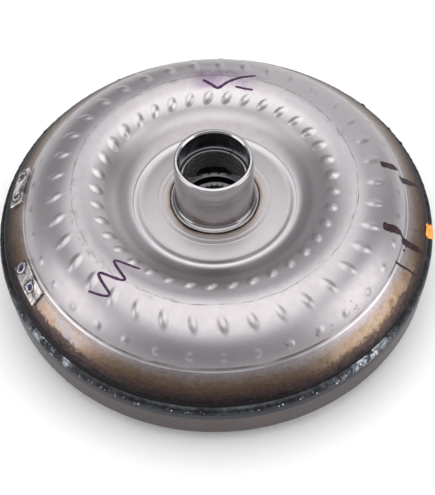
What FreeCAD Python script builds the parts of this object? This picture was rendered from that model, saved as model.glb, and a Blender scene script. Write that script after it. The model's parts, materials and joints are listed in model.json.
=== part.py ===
import FreeCAD, Part
import math
import os
import Sketcher
from FreeCAD import Placement, Rotation, Vector

# Automotive torque converter, lock-up type, millimetres.
# +Z is the axis of rotation and points out of the pump hub. The origin is on the axis, in the
# plane of the six drive-lug faces, so the converter stands on its lugs with the hub up.

# ---------------------------------------------------------------------------------------------
# Driving dimensions
# ---------------------------------------------------------------------------------------------

DRIVING = [
    # pressed housing
    ("outer_radius", 135.1, "outside of the cover wall"),
    ("rim_radius", 136.0, "outside of the cover rim, next to the closure weld"),
    ("shell_radius", 132.6, "outside of the shell skirt, which fits in the cover rim"),
    ("torus_radius", 86.0, "axis to the centre of the torus section"),
    ("torus_height", 47.4, "lug plane to the centre of the torus section"),
    ("torus_section", 29.4, "outside radius of the torus section of the impeller shell"),
    ("outer_bend", 37.6, "outside radius of the flatter outer side of the torus section"),
    ("outer_slope", 12.0, "slope where the flatter outer side starts, degrees"),
    ("fold_slope", 61.0, "slope where the outer side meets the fold, degrees"),
    ("shell_wall", 3.6, "impeller shell thickness"),
    ("dish_height", 60.0, "outer face of the flat dish round the hub"),
    ("dish_radius", 50.2, "edge of the dish, where the wall starts to climb"),
    ("blend_start", 66.0, "radius where the concave blend meets the torus"),
    ("blend_bend", 41.3, "radius of the concave blend"),
    ("fold_bend", 3.0, "radius of the fold between torus and shoulder"),
    ("shoulder_slope", 43.0, "slope of the conical shoulder, degrees"),
    ("shoulder_bend", 4.0, "radius between shoulder and skirt"),
    ("lap_low", 30.5, "step inside the cover on which the shell skirt stands"),
    ("lap_play", 0.05, "play of the skirt in the cover rim"),
    ("rim_low", 31.4, "lower edge of the thicker cover rim"),
    ("rim_high", 37.0, "upper edge of the cover rim, under the closure weld"),
    ("weld_top", 41.0, "upper toe of the closure weld on the shell"),
    ("weld_crown", 1.1, "how far the closure weld bulges"),
    ("cover_face", 10.0, "front face of the cover above the lug plane"),
    ("cover_wall", 4.0, "cover thickness"),
    ("cover_bend", 4.8, "outside corner radius of the cover"),
    # front of the cover
    ("pilot_radius", 21.6, "crankshaft pilot"),
    ("pilot_tip", 1.5, "pilot end face above the lug plane"),
    ("pilot_base", 26.0, "welded base of the pilot"),
    ("base_thickness", 2.0, "thickness of the pilot base"),
    ("pilot_recess", 12.0, "radius of the recess in the pilot"),
    ("recess_depth", 4.0, "depth of the recess in the pilot"),
    ("edge_break", 1.0, "chamfer on the pilot"),
    ("fillet_leg", 2.0, "leg of the lug and pilot fillet welds"),
    ("lug_circle", 114.3, "radius of the lug bolt circle"),
    ("lug_radius", 11.0, "drive lug"),
    ("lug_hole", 4.25, "tapping size of the M10 lug thread"),
    ("lug_count", 6, "drive lugs"),
    # pump hub
    ("hub_radius", 23.8, "pump hub running surface"),
    ("hub_bore", 20.7, "pump hub bore"),
    ("hub_top", 98.7, "end face of the pump hub"),
    ("hub_chamfer", 0.5, "chamfer on both rims of the hub"),
    ("foot_radius", 27.3, "foot of the hub on the shell"),
    ("foot_bend", 3.5, "fillet between hub and foot"),
    ("foot_thickness", 0.8, "thickness of the foot at its edge"),
    ("spigot_radius", 25.0, "hub spigot in the hole of the shell"),
    ("spigot_end", 55.4, "inner end of the hub"),
    ("hub_weld_leg", 1.4, "leg of the fillet weld inside the shell"),
    ("bush_bore", 19.05, "running bore of the hub bush"),
    ("bush_top", 82.7, "outer end of the bush"),
    ("bush_length", 15.0, "length of the bush"),
    ("bush_split", 0.4, "width of the slanted butt joint of the bush"),
    ("bush_slant", 52.0, "slant of the butt joint from the axis, degrees"),
    ("bush_turn", 87.0, "place of the butt joint, degrees"),
    # balance weights
    ("weight_thickness", 1.8, "balance weight plate"),
    ("weight_clearance", 0.05, "gap under the plate"),
    ("weight_inner", 119.4, "radius at the inner edge of the plate"),
    ("weight_outer", 127.4, "radius at the outer edge of the plate"),
    ("weight_span", 13.2, "width of the plate round the axis, degrees"),
    ("weight_a_turn", 170.8, "place of the first weight, degrees"),
    ("weight_b_turn", 204.4, "place of the second weight, degrees"),
    # blades and cores
    ("blade_count", 37, "impeller blades, and as many turbine blades"),
    ("blade_thickness", 1.0, "blade sheet"),
    ("blade_clearance", 0.1, "gap between blade edges and the shells"),
    ("core_section", 11.5, "outside radius of the core ring section"),
    ("core_wall", 1.2, "core ring sheet"),
    ("split_height", 50.5, "plane between impeller and turbine"),
    ("split_half", 0.8, "half of the gap between impeller and turbine"),
    ("inlet_offset", 10.0, "blade edge next to the stator, from the torus centre"),
    ("turbine_wall", 1.8, "turbine shell sheet"),
    ("turbine_foot", 34.0, "inner edge of the turbine shell"),
    ("turbine_foot_top", 27.8, "inner face of the flat foot of the turbine shell"),
    # turbine hub
    ("turbine_spline", 11.4, "bore of the turbine hub inside the spline teeth"),
    ("turbine_teeth", 24, "teeth of the turbine spline"),
    ("tooth_depth", 1.2, "depth of both splines"),
    ("barrel_radius", 24.0, "barrel of the turbine hub, which guides the piston"),
    ("barrel_end", 17.0, "front end of the barrel"),
    ("flange_radius", 48.0, "flange of the turbine hub"),
    ("flange_top", 32.8, "stator side of the flange"),
    ("seal_height", 20.0, "middle of the piston seal ring"),
    ("seal_width", 2.0, "width of the piston seal ring"),
    ("seal_depth", 1.6, "depth of the seal groove"),
    ("seal_play", 0.1, "play of the seal ring in its groove"),
    ("seal_reach", 0.03, "how far the seal ring stands out of the barrel"),
    ("washer_bore", 12.5, "front thrust washer bore"),
    ("washer_radius", 23.0, "front thrust washer"),
    ("washer_thickness", 2.6, "front thrust washer"),
    ("rivet_circle", 43.5, "radius of the hub rivet circle"),
    ("rivet_radius", 2.4, "hub rivet shank"),
    ("rivet_head", 3.9, "hub rivet head"),
    ("rivet_head_thickness", 1.4, "hub rivet head"),
    ("rivet_count", 12, "hub rivets"),
    # stator and one-way clutch
    ("race_spline", 15.8, "bore of the inner race inside the spline teeth"),
    ("race_teeth", 30, "teeth of the race spline"),
    ("race_radius", 26.0, "outside of the inner race"),
    ("race_inset", 0.3, "the inner race is shorter than the stator hub by this at each end"),
    ("stator_low", 36.6, "turbine side of the stator hub"),
    ("stator_high", 52.6, "pump side of the stator hub"),
    ("cap_thickness", 2.0, "end caps of the clutch"),
    ("cap_clearance", 0.08, "running clearance of the caps on the race"),
    ("roller_radius", 3.9, "clutch roller"),
    ("roller_clearance", 0.08, "roller to race"),
    ("roller_end_play", 0.2, "end play of rollers"),
    ("roller_count", 10, "clutch rollers"),
    ("pocket_radius", 4.3, "roller pocket of the cam"),
    ("spring_pocket", 2.9, "spring pocket of the cam"),
    ("spring_turn", 11.5, "angle from roller to spring pocket, degrees"),
    ("leaf_radius", 2.1, "clutch spring, a rolled leaf"),
    ("leaf_wall", 0.5, "sheet of a clutch spring"),
    ("leaf_inset", 2.2, "the clutch spring ends short of the cam faces"),
    ("cam_bore", 31.0, "bore of the cam"),
    ("cam_radius", 39.0, "outside of the cam"),
    ("stator_hub_radius", 46.5, "outside of the stator hub"),
    ("shroud_low", 40.8, "turbine edge of the stator shroud"),
    ("shroud_high", 52.2, "pump edge of the stator shroud"),
    ("vane_inset", 0.4, "vanes end short of the shroud edges"),
    ("shroud_bore", 70.0, "inside of the stator shroud"),
    ("shroud_radius", 72.6, "outside of the stator shroud"),
    ("vane_count", 17, "stator vanes"),
    ("vane_thickness", 2.4, "stator vane"),
    ("vane_slant", 38.0, "slant of the stator vanes, degrees"),
    ("snap_thickness", 1.2, "snap ring"),
    ("snap_depth", 1.3, "snap ring groove"),
    ("snap_gap", 24.0, "opening of the snap ring, degrees"),
    ("snap_play", 0.1, "play of the snap ring in its groove"),
    # needle thrust bearings
    ("needle_radius", 1.0, "bearing needle"),
    ("needle_inner", 31.5, "inner end of the needles"),
    ("needle_outer", 38.5, "outer end of the needles"),
    ("needle_count", 30, "needles in one bearing"),
    ("needle_play", 0.1, "gap between needles and races"),
    ("cage_inner", 30.2, "bearing cage bore"),
    ("cage_outer", 39.8, "outside of the bearing cage"),
    ("cage_thickness", 1.2, "bearing cage"),
    ("cage_play", 0.15, "gap round a needle in its slot"),
    ("race_thickness", 0.8, "bearing race washer"),
    ("washer_inner", 29.4, "bore of the race washers"),
    ("washer_outer", 40.6, "outside of the race washers"),
    # lock-up piston and damper
    ("piston_gap", 0.1, "lining to cover with the clutch applied"),
    ("lining_thickness", 1.2, "friction lining"),
    ("lining_inner", 104.0, "inner edge of the lining"),
    ("lining_outer", 122.0, "outer edge of the lining"),
    ("piston_wall", 2.0, "piston sheet"),
    ("piston_radius", 127.0, "outside of the piston"),
    ("piston_bore", 24.08, "bore of the piston on the turbine hub"),
    ("collar_radius", 27.6, "outside of the piston collar"),
    ("collar_height", 7.0, "height of the piston collar"),
    ("carrier_low", 18.9, "underside of the damper carrier"),
    ("carrier_wall", 1.0, "floor of the damper carrier"),
    ("carrier_inner", 110.0, "inner edge of the damper carrier"),
    ("carrier_outer", 126.2, "outside of the damper carrier"),
    ("carrier_rim", 1.8, "rim of the damper carrier"),
    ("stop_inner", 118.6, "inner side of the spring stops"),
    ("stop_half", 8.9, "half width of stops and driving tabs, degrees"),
    ("stop_top", 30.9, "upper side of the spring stops"),
    ("tab_inner", 112.4, "inner side of the driving tabs"),
    ("tab_outer", 117.9, "outer side of the driving tabs"),
    ("tab_low", 21.0, "lower end of the driving tabs"),
    ("driven_low", 33.8, "underside of the driven ring"),
    ("driven_high", 38.0, "upper side of the driven ring"),
    ("dog_half", 4.6, "half width of the piston driving dogs, degrees"),
    ("dog_low", 15.6, "lower end of the driving dogs"),
    ("notch_half", 5.0, "half width of the notches in the piston, degrees"),
    ("notch_root", 124.0, "bottom of the notches in the piston"),
    ("end_ring_thickness", 1.2, "upper ring of the damper"),
    ("damper_rivet", 1.6, "damper rivet shank"),
    ("damper_rivet_head", 2.4, "damper rivet head"),
    ("damper_head_thickness", 1.2, "damper rivet head"),
    ("damper_rivet_circle", 121.6, "radius of the damper rivet circle"),
    ("spring_count", 8, "damper springs"),
    ("spring_circle", 116.6, "radius at the middle of a damper spring's ends"),
    ("spring_offset", 1.4, "the spring axis lies outside the chord of that circle by this"),
    ("spring_half", 13.3, "half angle that a damper spring takes, degrees"),
    ("spring_height", 25.9, "damper spring axis"),
    ("spring_coil", 4.0, "mean coil radius"),
    ("spring_wire", 1.1, "wire radius"),
    ("spring_turns", 8, "turns of a damper spring"),
]

document = FreeCAD.newDocument("torque_converter")
sheet = document.addObject("Spreadsheet::Sheet", "sizes")
for row, (name, number, meaning) in enumerate(DRIVING, start=1):
    sheet.set(f"A{row}", meaning)
    sheet.set(f"B{row}", str(number))
    sheet.setAlias(f"B{row}", name)
document.recompute()


class Size:
    """A size that knows its value and the expression that gives it from the sheet."""

    def __init__(self, value, text):
        self.value = float(value)
        self.text = text

    def __add__(self, other):
        other = as_size(other)
        return Size(self.value + other.value, f"({self.text} + {other.text})")

    def __sub__(self, other):
        other = as_size(other)
        return Size(self.value - other.value, f"({self.text} - {other.text})")

    def __mul__(self, other):
        other = as_size(other)
        return Size(self.value * other.value, f"({self.text} * {other.text})")

    def __truediv__(self, other):
        other = as_size(other)
        return Size(self.value / other.value, f"({self.text} / {other.text})")

    def __neg__(self):
        return Size(-self.value, f"(-{self.text})")


def as_size(number):
    """Turn a plain number into a Size; a Size stays as it is."""
    return number if isinstance(number, Size) else Size(number, repr(float(number)))


def cell(name):
    """The Size of one cell of the sheet."""
    return Size(getattr(sheet, name), f"sizes.{name}")


def root(size):
    """Square root of a Size."""
    return Size(math.sqrt(size.value), f"sqrt({size.text})")


def sine(size):
    """Sine of a Size in degrees."""
    return Size(math.sin(math.radians(size.value)), f"sin({size.text} * 1 deg)")


def cosine(size):
    """Cosine of a Size in degrees."""
    return Size(math.cos(math.radians(size.value)), f"cos({size.text} * 1 deg)")


def leg(long_side, short_side):
    """Third side of a right triangle, from its longest side and one other."""
    return root(long_side * long_side - short_side * short_side)


def bind(thing, path, size):
    """Set a property from an expression on the sheet."""
    thing.setExpression(path, as_size(size).text)


# ---------------------------------------------------------------------------------------------
# Ways of making a piece
# ---------------------------------------------------------------------------------------------

LEFT = 1
RIGHT = -1
ORIGIN = -1
VERTICAL_AXIS = -2
START = 1
END = 2
CENTRE = 3
UP = Vector(0, 0, 1)
OVERLAP = 0.5
SAW_MARGIN = 5
pieces = []


def keep(thing, label):
    """Give an object its label and list it as a piece of the converter."""
    thing.Label = label
    pieces.append(thing)
    return thing


def plane_sketch(body, role):
    """New sketch on one of the body's own origin planes."""
    sketch = body.newObject("Sketcher::SketchObject", body.Name + "_sketch")
    plane = [item for item in body.Origin.OriginFeatures if item.Role == role][0]
    sketch.AttachmentSupport = [(plane, "")]
    sketch.MapMode = "FlatFace"
    return sketch


def arc_between(first, second, radius, turn):
    """Arc from first to second, whose centre is on the left or the right of the way."""
    chord = second - first
    across = Vector(-chord.y, chord.x, 0) * (turn / chord.Length)
    rise = math.sqrt(radius ** 2 - (chord.Length / 2) ** 2)
    centre = first + chord * 0.5 + across * rise
    angles = [math.atan2(p.y - centre.y, p.x - centre.x) for p in (first, second)]
    if turn == RIGHT:
        angles.reverse()
    return Part.ArcOfCircle(Part.Circle(centre, UP, radius), *angles)


def draw(sketch, corners):
    """Closed profile of corners (x, y), or (x, y, radius, turn) where an arc leads onward."""
    points = [Vector(c[0].value, c[1].value, 0) for c in corners]
    ends = []
    for index, corner in enumerate(corners):
        first = points[index]
        second = points[(index + 1) % len(points)]
        if len(corner) == 2:
            sketch.addGeometry(Part.LineSegment(first, second))
            ends.append((START, END))
            continue
        radius, turn = corner[2:]
        sketch.addGeometry(arc_between(first, second, radius.value, turn))
        ends.append((START, END) if turn == LEFT else (END, START))
    for index, corner in enumerate(corners):
        after = (index + 1) % len(corners)
        join = (index, ends[index][1], after, ends[after][0])
        sketch.addConstraint(Sketcher.Constraint("Coincident", *join))
    for index, corner in enumerate(corners):
        vertex = (index, ends[index][0])
        across = (corner[0], "DistanceX", VERTICAL_AXIS)
        upward = (corner[1], "DistanceY", ORIGIN)
        for size, kind, axis in (across, upward):
            if size.value == 0:
                sketch.addConstraint(Sketcher.Constraint("PointOnObject", *vertex, axis))
                continue
            distance = Sketcher.Constraint(kind, ORIGIN, START, *vertex, size.value)
            fix(sketch, distance, size)
        if len(corner) > 2:
            fix(sketch, Sketcher.Constraint("Radius", index, corner[2].value), corner[2])


def fix(sketch, constraint, size):
    """Add a dimension to a sketch and bind it to the sheet."""
    number = sketch.addConstraint(constraint)
    bind(sketch, f"Constraints[{number}]", size)


def revolved(label, corners, angle=360, keep_it=True):
    """Body turned about the Z axis from a profile of (radius, height) corners."""
    body = document.addObject("PartDesign::Body", label)
    sketch = plane_sketch(body, "XZ_Plane")
    draw(sketch, [(as_size(c[0]), as_size(c[1])) + tuple(c[2:]) for c in corners])
    turned = body.newObject("PartDesign::Revolution", label + "_turned")
    turned.Profile = sketch
    turned.ReferenceAxis = (sketch, ["V_Axis"])
    bind(turned, "Angle", angle)
    sketch.Visibility = False
    if keep_it:
        keep(body, label)
    return body


def ring(label, inner, outer, low, high, keep_it=True):
    """Plain ring of rectangular section."""
    corners = [(inner, low), (outer, low), (outer, high), (inner, high)]
    return revolved(label, corners, keep_it=keep_it)


def repeat_cut(body, sketch, count, name):
    """Cut a sketch through the body along Z and repeat the cut round the axis."""
    before = body.Shape.Volume
    pocket = body.newObject("PartDesign::Pocket", body.Name + "_" + name)
    pocket.Profile = sketch
    pocket.Type = "ThroughAll"
    pocket.Midplane = True
    pattern = body.newObject("PartDesign::PolarPattern", body.Name + "_" + name + "_pattern")
    pattern.Originals = [pocket]
    pattern.Axis = (sketch, ["N_Axis"])
    pattern.Angle = 360
    bind(pattern, "Occurrences", count)
    body.Tip = pattern
    document.recompute()
    if body.Shape.Volume >= before:
        raise RuntimeError(f"{body.Label}: {name} cut nothing")


def cut_all_round(body, corners, count, name, turn=0):
    """Cut a prism with the given corners through the body, evenly repeated."""
    document.recompute()
    sketch = plane_sketch(body, "XY_Plane")
    sketch.AttachmentOffset = Placement(Vector(), Rotation(UP, turn))
    draw(sketch, [tuple(as_size(value) for value in c[:2]) + tuple(c[2:]) for c in corners])
    repeat_cut(body, sketch, count, name)


def round_holes(body, centre, radius, count, name):
    """Cut round holes through the body, evenly spaced on a circle."""
    document.recompute()
    sketch = plane_sketch(body, "XY_Plane")
    sketch.addGeometry(Part.Circle(Vector(centre.value, 0, 0), UP, radius.value))
    sketch.addConstraint(Sketcher.Constraint("PointOnObject", 0, CENTRE, ORIGIN))
    across = Sketcher.Constraint("DistanceX", ORIGIN, START, 0, CENTRE, centre.value)
    fix(sketch, across, centre)
    fix(sketch, Sketcher.Constraint("Radius", 0, radius.value), radius)
    repeat_cut(body, sketch, count, name)


def rod(label, radius, low, high, x=0):
    """Upright cylinder at a distance from the axis."""
    thing = document.addObject("Part::Cylinder", label)
    bind(thing, "Radius", radius)
    bind(thing, "Height", as_size(high) - low)
    bind(thing, "Placement.Base.z", low)
    bind(thing, "Placement.Base.x", x)
    return thing


def boolean(kind, label, first, second):
    """Part boolean of two objects."""
    thing = document.addObject("Part::" + kind, label)
    thing.Base = first
    thing.Tool = second
    return thing


def shaped(label, shape, placement=None):
    """Piece whose shape is worked out here, placed after its shape is set."""
    thing = document.addObject("Part::Feature", label)
    thing.Shape = shape
    thing.Placement = placement or Placement()
    return keep(thing, label)


def around(shape, count, first=0.0):
    """Compound of a shape repeated evenly round the Z axis."""
    copies = []
    for index in range(int(count)):
        copy = shape.copy()
        copy.rotate(Vector(), UP, first + index * 360.0 / count)
        copies.append(copy)
    return Part.makeCompound(copies)


def hollow(inner, outer, low, high, turn=360):
    """Solid ring of rectangular section, or a part of it."""
    solid = Part.makeCylinder(outer, high - low, Vector(0, 0, low), UP, turn)
    return solid.cut(Part.makeCylinder(inner, high - low, Vector(0, 0, low)))


def sector(inner, outer, low, high, half):
    """Solid of a ring between plus and minus half degrees from the X axis."""
    plain = hollow(inner, outer, low, high, 2 * half)
    plain.rotate(Vector(), UP, -half)
    return plain


def upright(points_and_arcs):
    """Face in the XZ plane from edges given as lines (two points) or arcs (three points)."""
    edges = []
    for item in points_and_arcs:
        corners = [Vector(p[0], 0, p[1]) for p in item]
        edges.append(Part.makeLine(*corners) if len(corners) == 2 else Part.Arc(*corners).toShape())
    return Part.Face(Part.Wire(edges))


# ---------------------------------------------------------------------------------------------
# Housing: cover, impeller shell, hub, welds and weights
# ---------------------------------------------------------------------------------------------

torus_r = cell("torus_radius")
torus_z = cell("torus_height")
outer = cell("outer_radius")


def torus_corner(section, distance_r, distance_z):
    """Point on a circle round the torus centre, in the direction of the two distances."""
    reach = root(distance_r * distance_r + distance_z * distance_z)
    return torus_r + distance_r * section / reach, torus_z + distance_z * section / reach


def make_cover():
    face = cell("cover_face")
    wall = cell("cover_wall")
    bend = cell("cover_bend")
    rim = cell("rim_radius")
    rim_low = cell("rim_low")
    lap = cell("shell_radius") + cell("lap_play")
    lap_low = cell("lap_low")
    return revolved("front_cover", [
        (0, face),
        (outer - bend, face, bend, LEFT),
        (outer, face + bend),
        (outer, rim_low),
        (rim, rim_low + (rim - outer)),
        (rim, cell("rim_high")),
        (lap, cell("rim_high")),
        (lap, lap_low),
        (outer - wall, lap_low),
        (outer - wall, face + bend, bend - wall, RIGHT),
        (outer - bend, face + wall),
        (0, face + wall),
    ])


def slope_point(centre_r, centre_z, reach, slope):
    """Point from a centre, in the outward direction of a face with that slope."""
    return centre_r + reach * sine(slope), centre_z + reach * cosine(slope)


def outer_side():
    """Centre of the flatter outer side of the torus section."""
    step = cell("torus_section") - cell("outer_bend")
    return slope_point(torus_r, torus_z, step, cell("outer_slope"))


def shoulder_start():
    """Centre of the fold, and the point where the conical shoulder starts."""
    fold = cell("fold_bend")
    centre_r, centre_z = outer_side()
    fold_r, fold_z = slope_point(centre_r, centre_z, cell("outer_bend") + fold, cell("fold_slope"))
    return (fold_r, fold_z), slope_point(fold_r, fold_z, -fold, cell("shoulder_slope"))


def make_impeller_shell():
    section = cell("torus_section")
    wall = cell("shell_wall")
    dish = cell("dish_height")
    dish_r = cell("dish_radius")
    blend = cell("blend_bend")
    flatter = cell("outer_bend")
    fold = cell("fold_bend")
    bend = cell("shoulder_bend")
    bore = cell("spigot_radius")
    outer_slope = cell("outer_slope")
    fold_slope = cell("fold_slope")
    slope = cell("shoulder_slope")
    # the concave blend is tangent to the torus circle where it starts
    start_r = cell("blend_start") - torus_r
    start_z = leg(section, start_r)
    blend_r, blend_z = torus_corner(section + blend, start_r, start_z)
    inner_dish_r = blend_r + (dish_r - blend_r) * (blend + wall) / blend
    inner_dish_z = blend_z + (dish - blend_z) * (blend + wall) / blend
    # outer side, fold and cone are tangent to each other, and the last bend to the cone and skirt
    side = outer_side()
    (fold_r, fold_z), (cone_r, cone_z) = shoulder_start()
    skirt = cell("shell_radius")
    bend_r = skirt - bend
    bend_z = cone_z - bend / cosine(slope) - (bend_r - cone_r) * sine(slope) / cosine(slope)
    rim = cell("lap_low")
    return revolved("impeller_shell", [
        (bore, dish - wall),
        (dish_r - wall, dish - wall),
        (inner_dish_r, inner_dish_z, blend + wall, LEFT),
        torus_corner(section - wall, start_r, start_z) + (section - wall, RIGHT),
        slope_point(*side, flatter - wall, outer_slope) + (flatter - wall, RIGHT),
        slope_point(*side, flatter - wall, fold_slope) + (fold + wall, LEFT),
        slope_point(fold_r, fold_z, -(fold + wall), slope),
        slope_point(bend_r, bend_z, bend - wall, slope) + (bend - wall, RIGHT),
        (skirt - wall, bend_z),
        (skirt - wall, rim),
        (skirt, rim),
        (skirt, bend_z, bend, LEFT),
        slope_point(bend_r, bend_z, bend, slope),
        slope_point(fold_r, fold_z, -fold, slope) + (fold, RIGHT),
        slope_point(*side, flatter, fold_slope) + (flatter, LEFT),
        slope_point(*side, flatter, outer_slope) + (section, LEFT),
        torus_corner(section, start_r, start_z) + (blend, RIGHT),
        (dish_r, dish),
        (bore, dish),
    ])


def make_closure_weld():
    skirt = cell("shell_radius")
    rim = cell("rim_radius")
    low = cell("rim_high")
    top = cell("weld_top")
    crown = cell("weld_crown")
    half_chord_squared = ((rim - skirt) * (rim - skirt) + (top - low) * (top - low)) / 4
    bead = (half_chord_squared + crown * crown) / (crown * 2)
    return revolved("closure_weld", [(skirt, low), (rim, low, bead, LEFT), (skirt, top)])


def make_pump_hub():
    radius = cell("hub_radius")
    bore = cell("hub_bore")
    top = cell("hub_top")
    chamfer = cell("hub_chamfer")
    foot = cell("foot_radius")
    bend = cell("foot_bend")
    dish = cell("dish_height")
    lip = dish + cell("foot_thickness")
    end = cell("spigot_end")
    return revolved("impeller_hub", [
        (bore, end),
        (cell("spigot_radius"), end),
        (cell("spigot_radius"), dish),
        (foot, dish),
        (foot, lip, bend, RIGHT),
        (radius, lip + (foot - radius)),
        (radius, top - chamfer),
        (radius - chamfer, top),
        (bore + chamfer, top),
        (bore, top - chamfer),
    ])


def make_hub_weld():
    spigot = cell("spigot_radius")
    inside = cell("dish_height") - cell("shell_wall")
    size = cell("hub_weld_leg")
    leg_down = inside - cell("spigot_end")
    return revolved("hub_weld", [(spigot, inside), (spigot, inside - leg_down), (spigot + size, inside)])


def make_bush():
    top = cell("bush_top")
    low = top - cell("bush_length")
    tube = ring("bush_tube", cell("bush_bore"), cell("hub_bore"), low, top, keep_it=False)
    blade = document.addObject("Part::Box", "bush_saw")
    bind(blade, "Length", cell("hub_bore") + SAW_MARGIN)
    bind(blade, "Width", cell("bush_split"))
    bind(blade, "Height", cell("bush_length") * 2)
    middle = Vector(0, 0, low.value + sheet.bush_length / 2)
    turned = Placement(middle, Rotation(UP, sheet.bush_turn))
    slanted = Placement(Vector(), Rotation(Vector(1, 0, 0), sheet.bush_slant))
    centred = Placement(Vector(0, -sheet.bush_split / 2, -sheet.bush_length), Rotation())
    blade.Placement = turned.multiply(slanted).multiply(centred)
    return keep(boolean("Cut", "hub_bush", tube, blade), "hub_bush")


def make_pilot():
    radius = cell("pilot_radius")
    tip = cell("pilot_tip")
    recess = cell("pilot_recess")
    depth = cell("recess_depth")
    edge = cell("edge_break")
    face = cell("cover_face")
    base = cell("pilot_base")
    base_low = face - cell("base_thickness")
    size = cell("fillet_leg")
    revolved("pilot_boss", [
        (0, tip + depth),
        (recess, tip + depth),
        (recess, tip),
        (radius - edge, tip),
        (radius, tip + edge),
        (radius, base_low),
        (base, base_low),
        (base, face),
        (0, face),
    ])
    revolved("pilot_weld", [(base, base_low), (base + size, face), (base, face)])


def make_lugs():
    face = cell("cover_face")
    circle = cell("lug_circle")
    solid = rod("lug_blank", cell("lug_radius"), 0, face, circle)
    hole = rod("lug_bore", cell("lug_hole"), -cell("edge_break"), face + cell("edge_break"), circle)
    lug = boolean("Cut", "lug", solid, hole)
    bead = document.addObject("Part::Cone", "lug_bead_blank")
    bind(bead, "Radius1", cell("lug_radius"))
    bind(bead, "Radius2", cell("lug_radius") + cell("fillet_leg"))
    bind(bead, "Height", cell("fillet_leg"))
    bind(bead, "Placement.Base.x", circle)
    bind(bead, "Placement.Base.z", face - cell("fillet_leg"))
    weld = boolean("Cut", "lug_bead", bead, solid)
    document.recompute()
    shaped("drive_lugs", around(lug.Shape, sheet.lug_count))
    shaped("lug_welds", around(weld.Shape, sheet.lug_count))


def make_weights():
    """Two plates that lie on the conical shoulder."""
    _, (cone_r, cone_z) = shoulder_start()
    slope = math.radians(sheet.shoulder_slope)

    def over_cone(radius, height):
        """Point over the cone: where it has that radius, and a height along its normal."""
        level = cone_z.value - (radius - cone_r.value) * math.tan(slope)
        return radius + height * math.sin(slope), level + height * math.cos(slope)

    near = sheet.weight_clearance
    far = near + sheet.weight_thickness
    inner_near = over_cone(sheet.weight_inner, near)
    outer_near = over_cone(sheet.weight_outer, near)
    outer_far = over_cone(sheet.weight_outer, far)
    inner_far = over_cone(sheet.weight_inner, far)
    face = upright([
        [inner_near, outer_near],
        [outer_near, outer_far],
        [outer_far, inner_far],
        [inner_far, inner_near],
    ])
    plate = face.revolve(Vector(), UP, sheet.weight_span)
    turns = {"balance_weight_a": sheet.weight_a_turn, "balance_weight_b": sheet.weight_b_turn}
    for label, turn in turns.items():
        start = turn - sheet.weight_span / 2
        shaped(label, plate, Placement(Vector(), Rotation(UP, start)))


# ---------------------------------------------------------------------------------------------
# Blades and cores
# ---------------------------------------------------------------------------------------------


def on_circle(radius, height, side):
    """Point of a circle round the torus centre, as radius and height over that centre."""
    return sheet.torus_radius + side * math.sqrt(radius ** 2 - height ** 2), height


def blade_face(edge_z, shell_edge):
    """Half of the torus section between shell and core, over the torus centre."""
    big = sheet.torus_section - sheet.shell_wall - sheet.blade_clearance
    small = sheet.core_section + sheet.blade_clearance
    inlet = sheet.inlet_offset
    return upright(shell_edge + [
        [on_circle(big, inlet, -1), on_circle(small, inlet, -1)],
        [on_circle(small, inlet, -1), (sheet.torus_radius, small), on_circle(small, edge_z, 1)],
        [on_circle(small, edge_z, 1), on_circle(big, edge_z, 1)],
    ])


def impeller_edge(edge_z):
    """Edge of an impeller blade along the shell: up from the outlet, outer side, torus."""
    big = sheet.torus_section - sheet.shell_wall - sheet.blade_clearance
    flatter = sheet.outer_bend - sheet.shell_wall - sheet.blade_clearance
    side_r, side_z = (size.value for size in outer_side())
    side_z -= sheet.torus_height
    outlet = on_circle(big, edge_z, 1)
    reach = outlet[0] - side_r
    top = (outlet[0], side_z + math.sqrt(flatter ** 2 - reach ** 2))

    def on_side(slope):
        return side_r + flatter * math.sin(slope), side_z + flatter * math.cos(slope)

    join = math.radians(sheet.outer_slope)
    between = (join + math.asin(reach / flatter)) / 2
    return [
        [outlet, top],
        [top, on_side(between), on_side(join)],
        [on_side(join), (sheet.torus_radius, big), on_circle(big, sheet.inlet_offset, -1)],
    ]


def turbine_edge(edge_z):
    """Edge of a turbine blade along its shell, turned upside down."""
    big = sheet.torus_section - sheet.shell_wall - sheet.blade_clearance
    inlet = on_circle(big, sheet.inlet_offset, -1)
    return [[on_circle(big, edge_z, 1), (sheet.torus_radius, big), inlet]]


def make_blades():
    thickness = Vector(0, sheet.blade_thickness, 0)
    centre = Vector(0, -sheet.blade_thickness / 2, 0)
    split = sheet.split_height - sheet.torus_height
    outlet = split + sheet.split_half
    upper = blade_face(outlet, impeller_edge(outlet)).extrude(thickness)
    upper.translate(centre + Vector(0, 0, sheet.torus_height))
    intake = sheet.split_half - split
    lower = blade_face(intake, turbine_edge(intake)).extrude(thickness)
    lower.translate(centre)
    lower = lower.mirror(Vector(), UP)
    lower.translate(Vector(0, 0, sheet.torus_height))
    shaped("impeller_blades", around(upper, sheet.blade_count))
    shaped("turbine_blades", around(lower, sheet.blade_count))


def half_ring(label, section, wall, limit, side):
    """Half of a hollow torus, cut off at a height above or below the torus centre."""
    rise = limit - torus_z
    big = leg(section, rise)
    small = leg(section - wall, rise)
    corners = [
        (torus_r - big, limit, section, RIGHT),
        (torus_r + big, limit),
        (torus_r + small, limit, section - wall, LEFT),
        (torus_r - small, limit),
    ]
    if side == "below":
        corners = [
            (torus_r - big, limit, section, LEFT),
            (torus_r + big, limit),
            (torus_r + small, limit, section - wall, RIGHT),
            (torus_r - small, limit),
        ]
    return revolved(label, corners)


def make_cores():
    section = cell("core_section")
    wall = cell("core_wall")
    split = cell("split_height")
    half_ring("impeller_core_ring", section, wall, split + cell("split_half"), "above")
    half_ring("turbine_core_ring", section, wall, torus_z - (split - torus_z) - cell("split_half"), "below")


# ---------------------------------------------------------------------------------------------
# Turbine
# ---------------------------------------------------------------------------------------------


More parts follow.
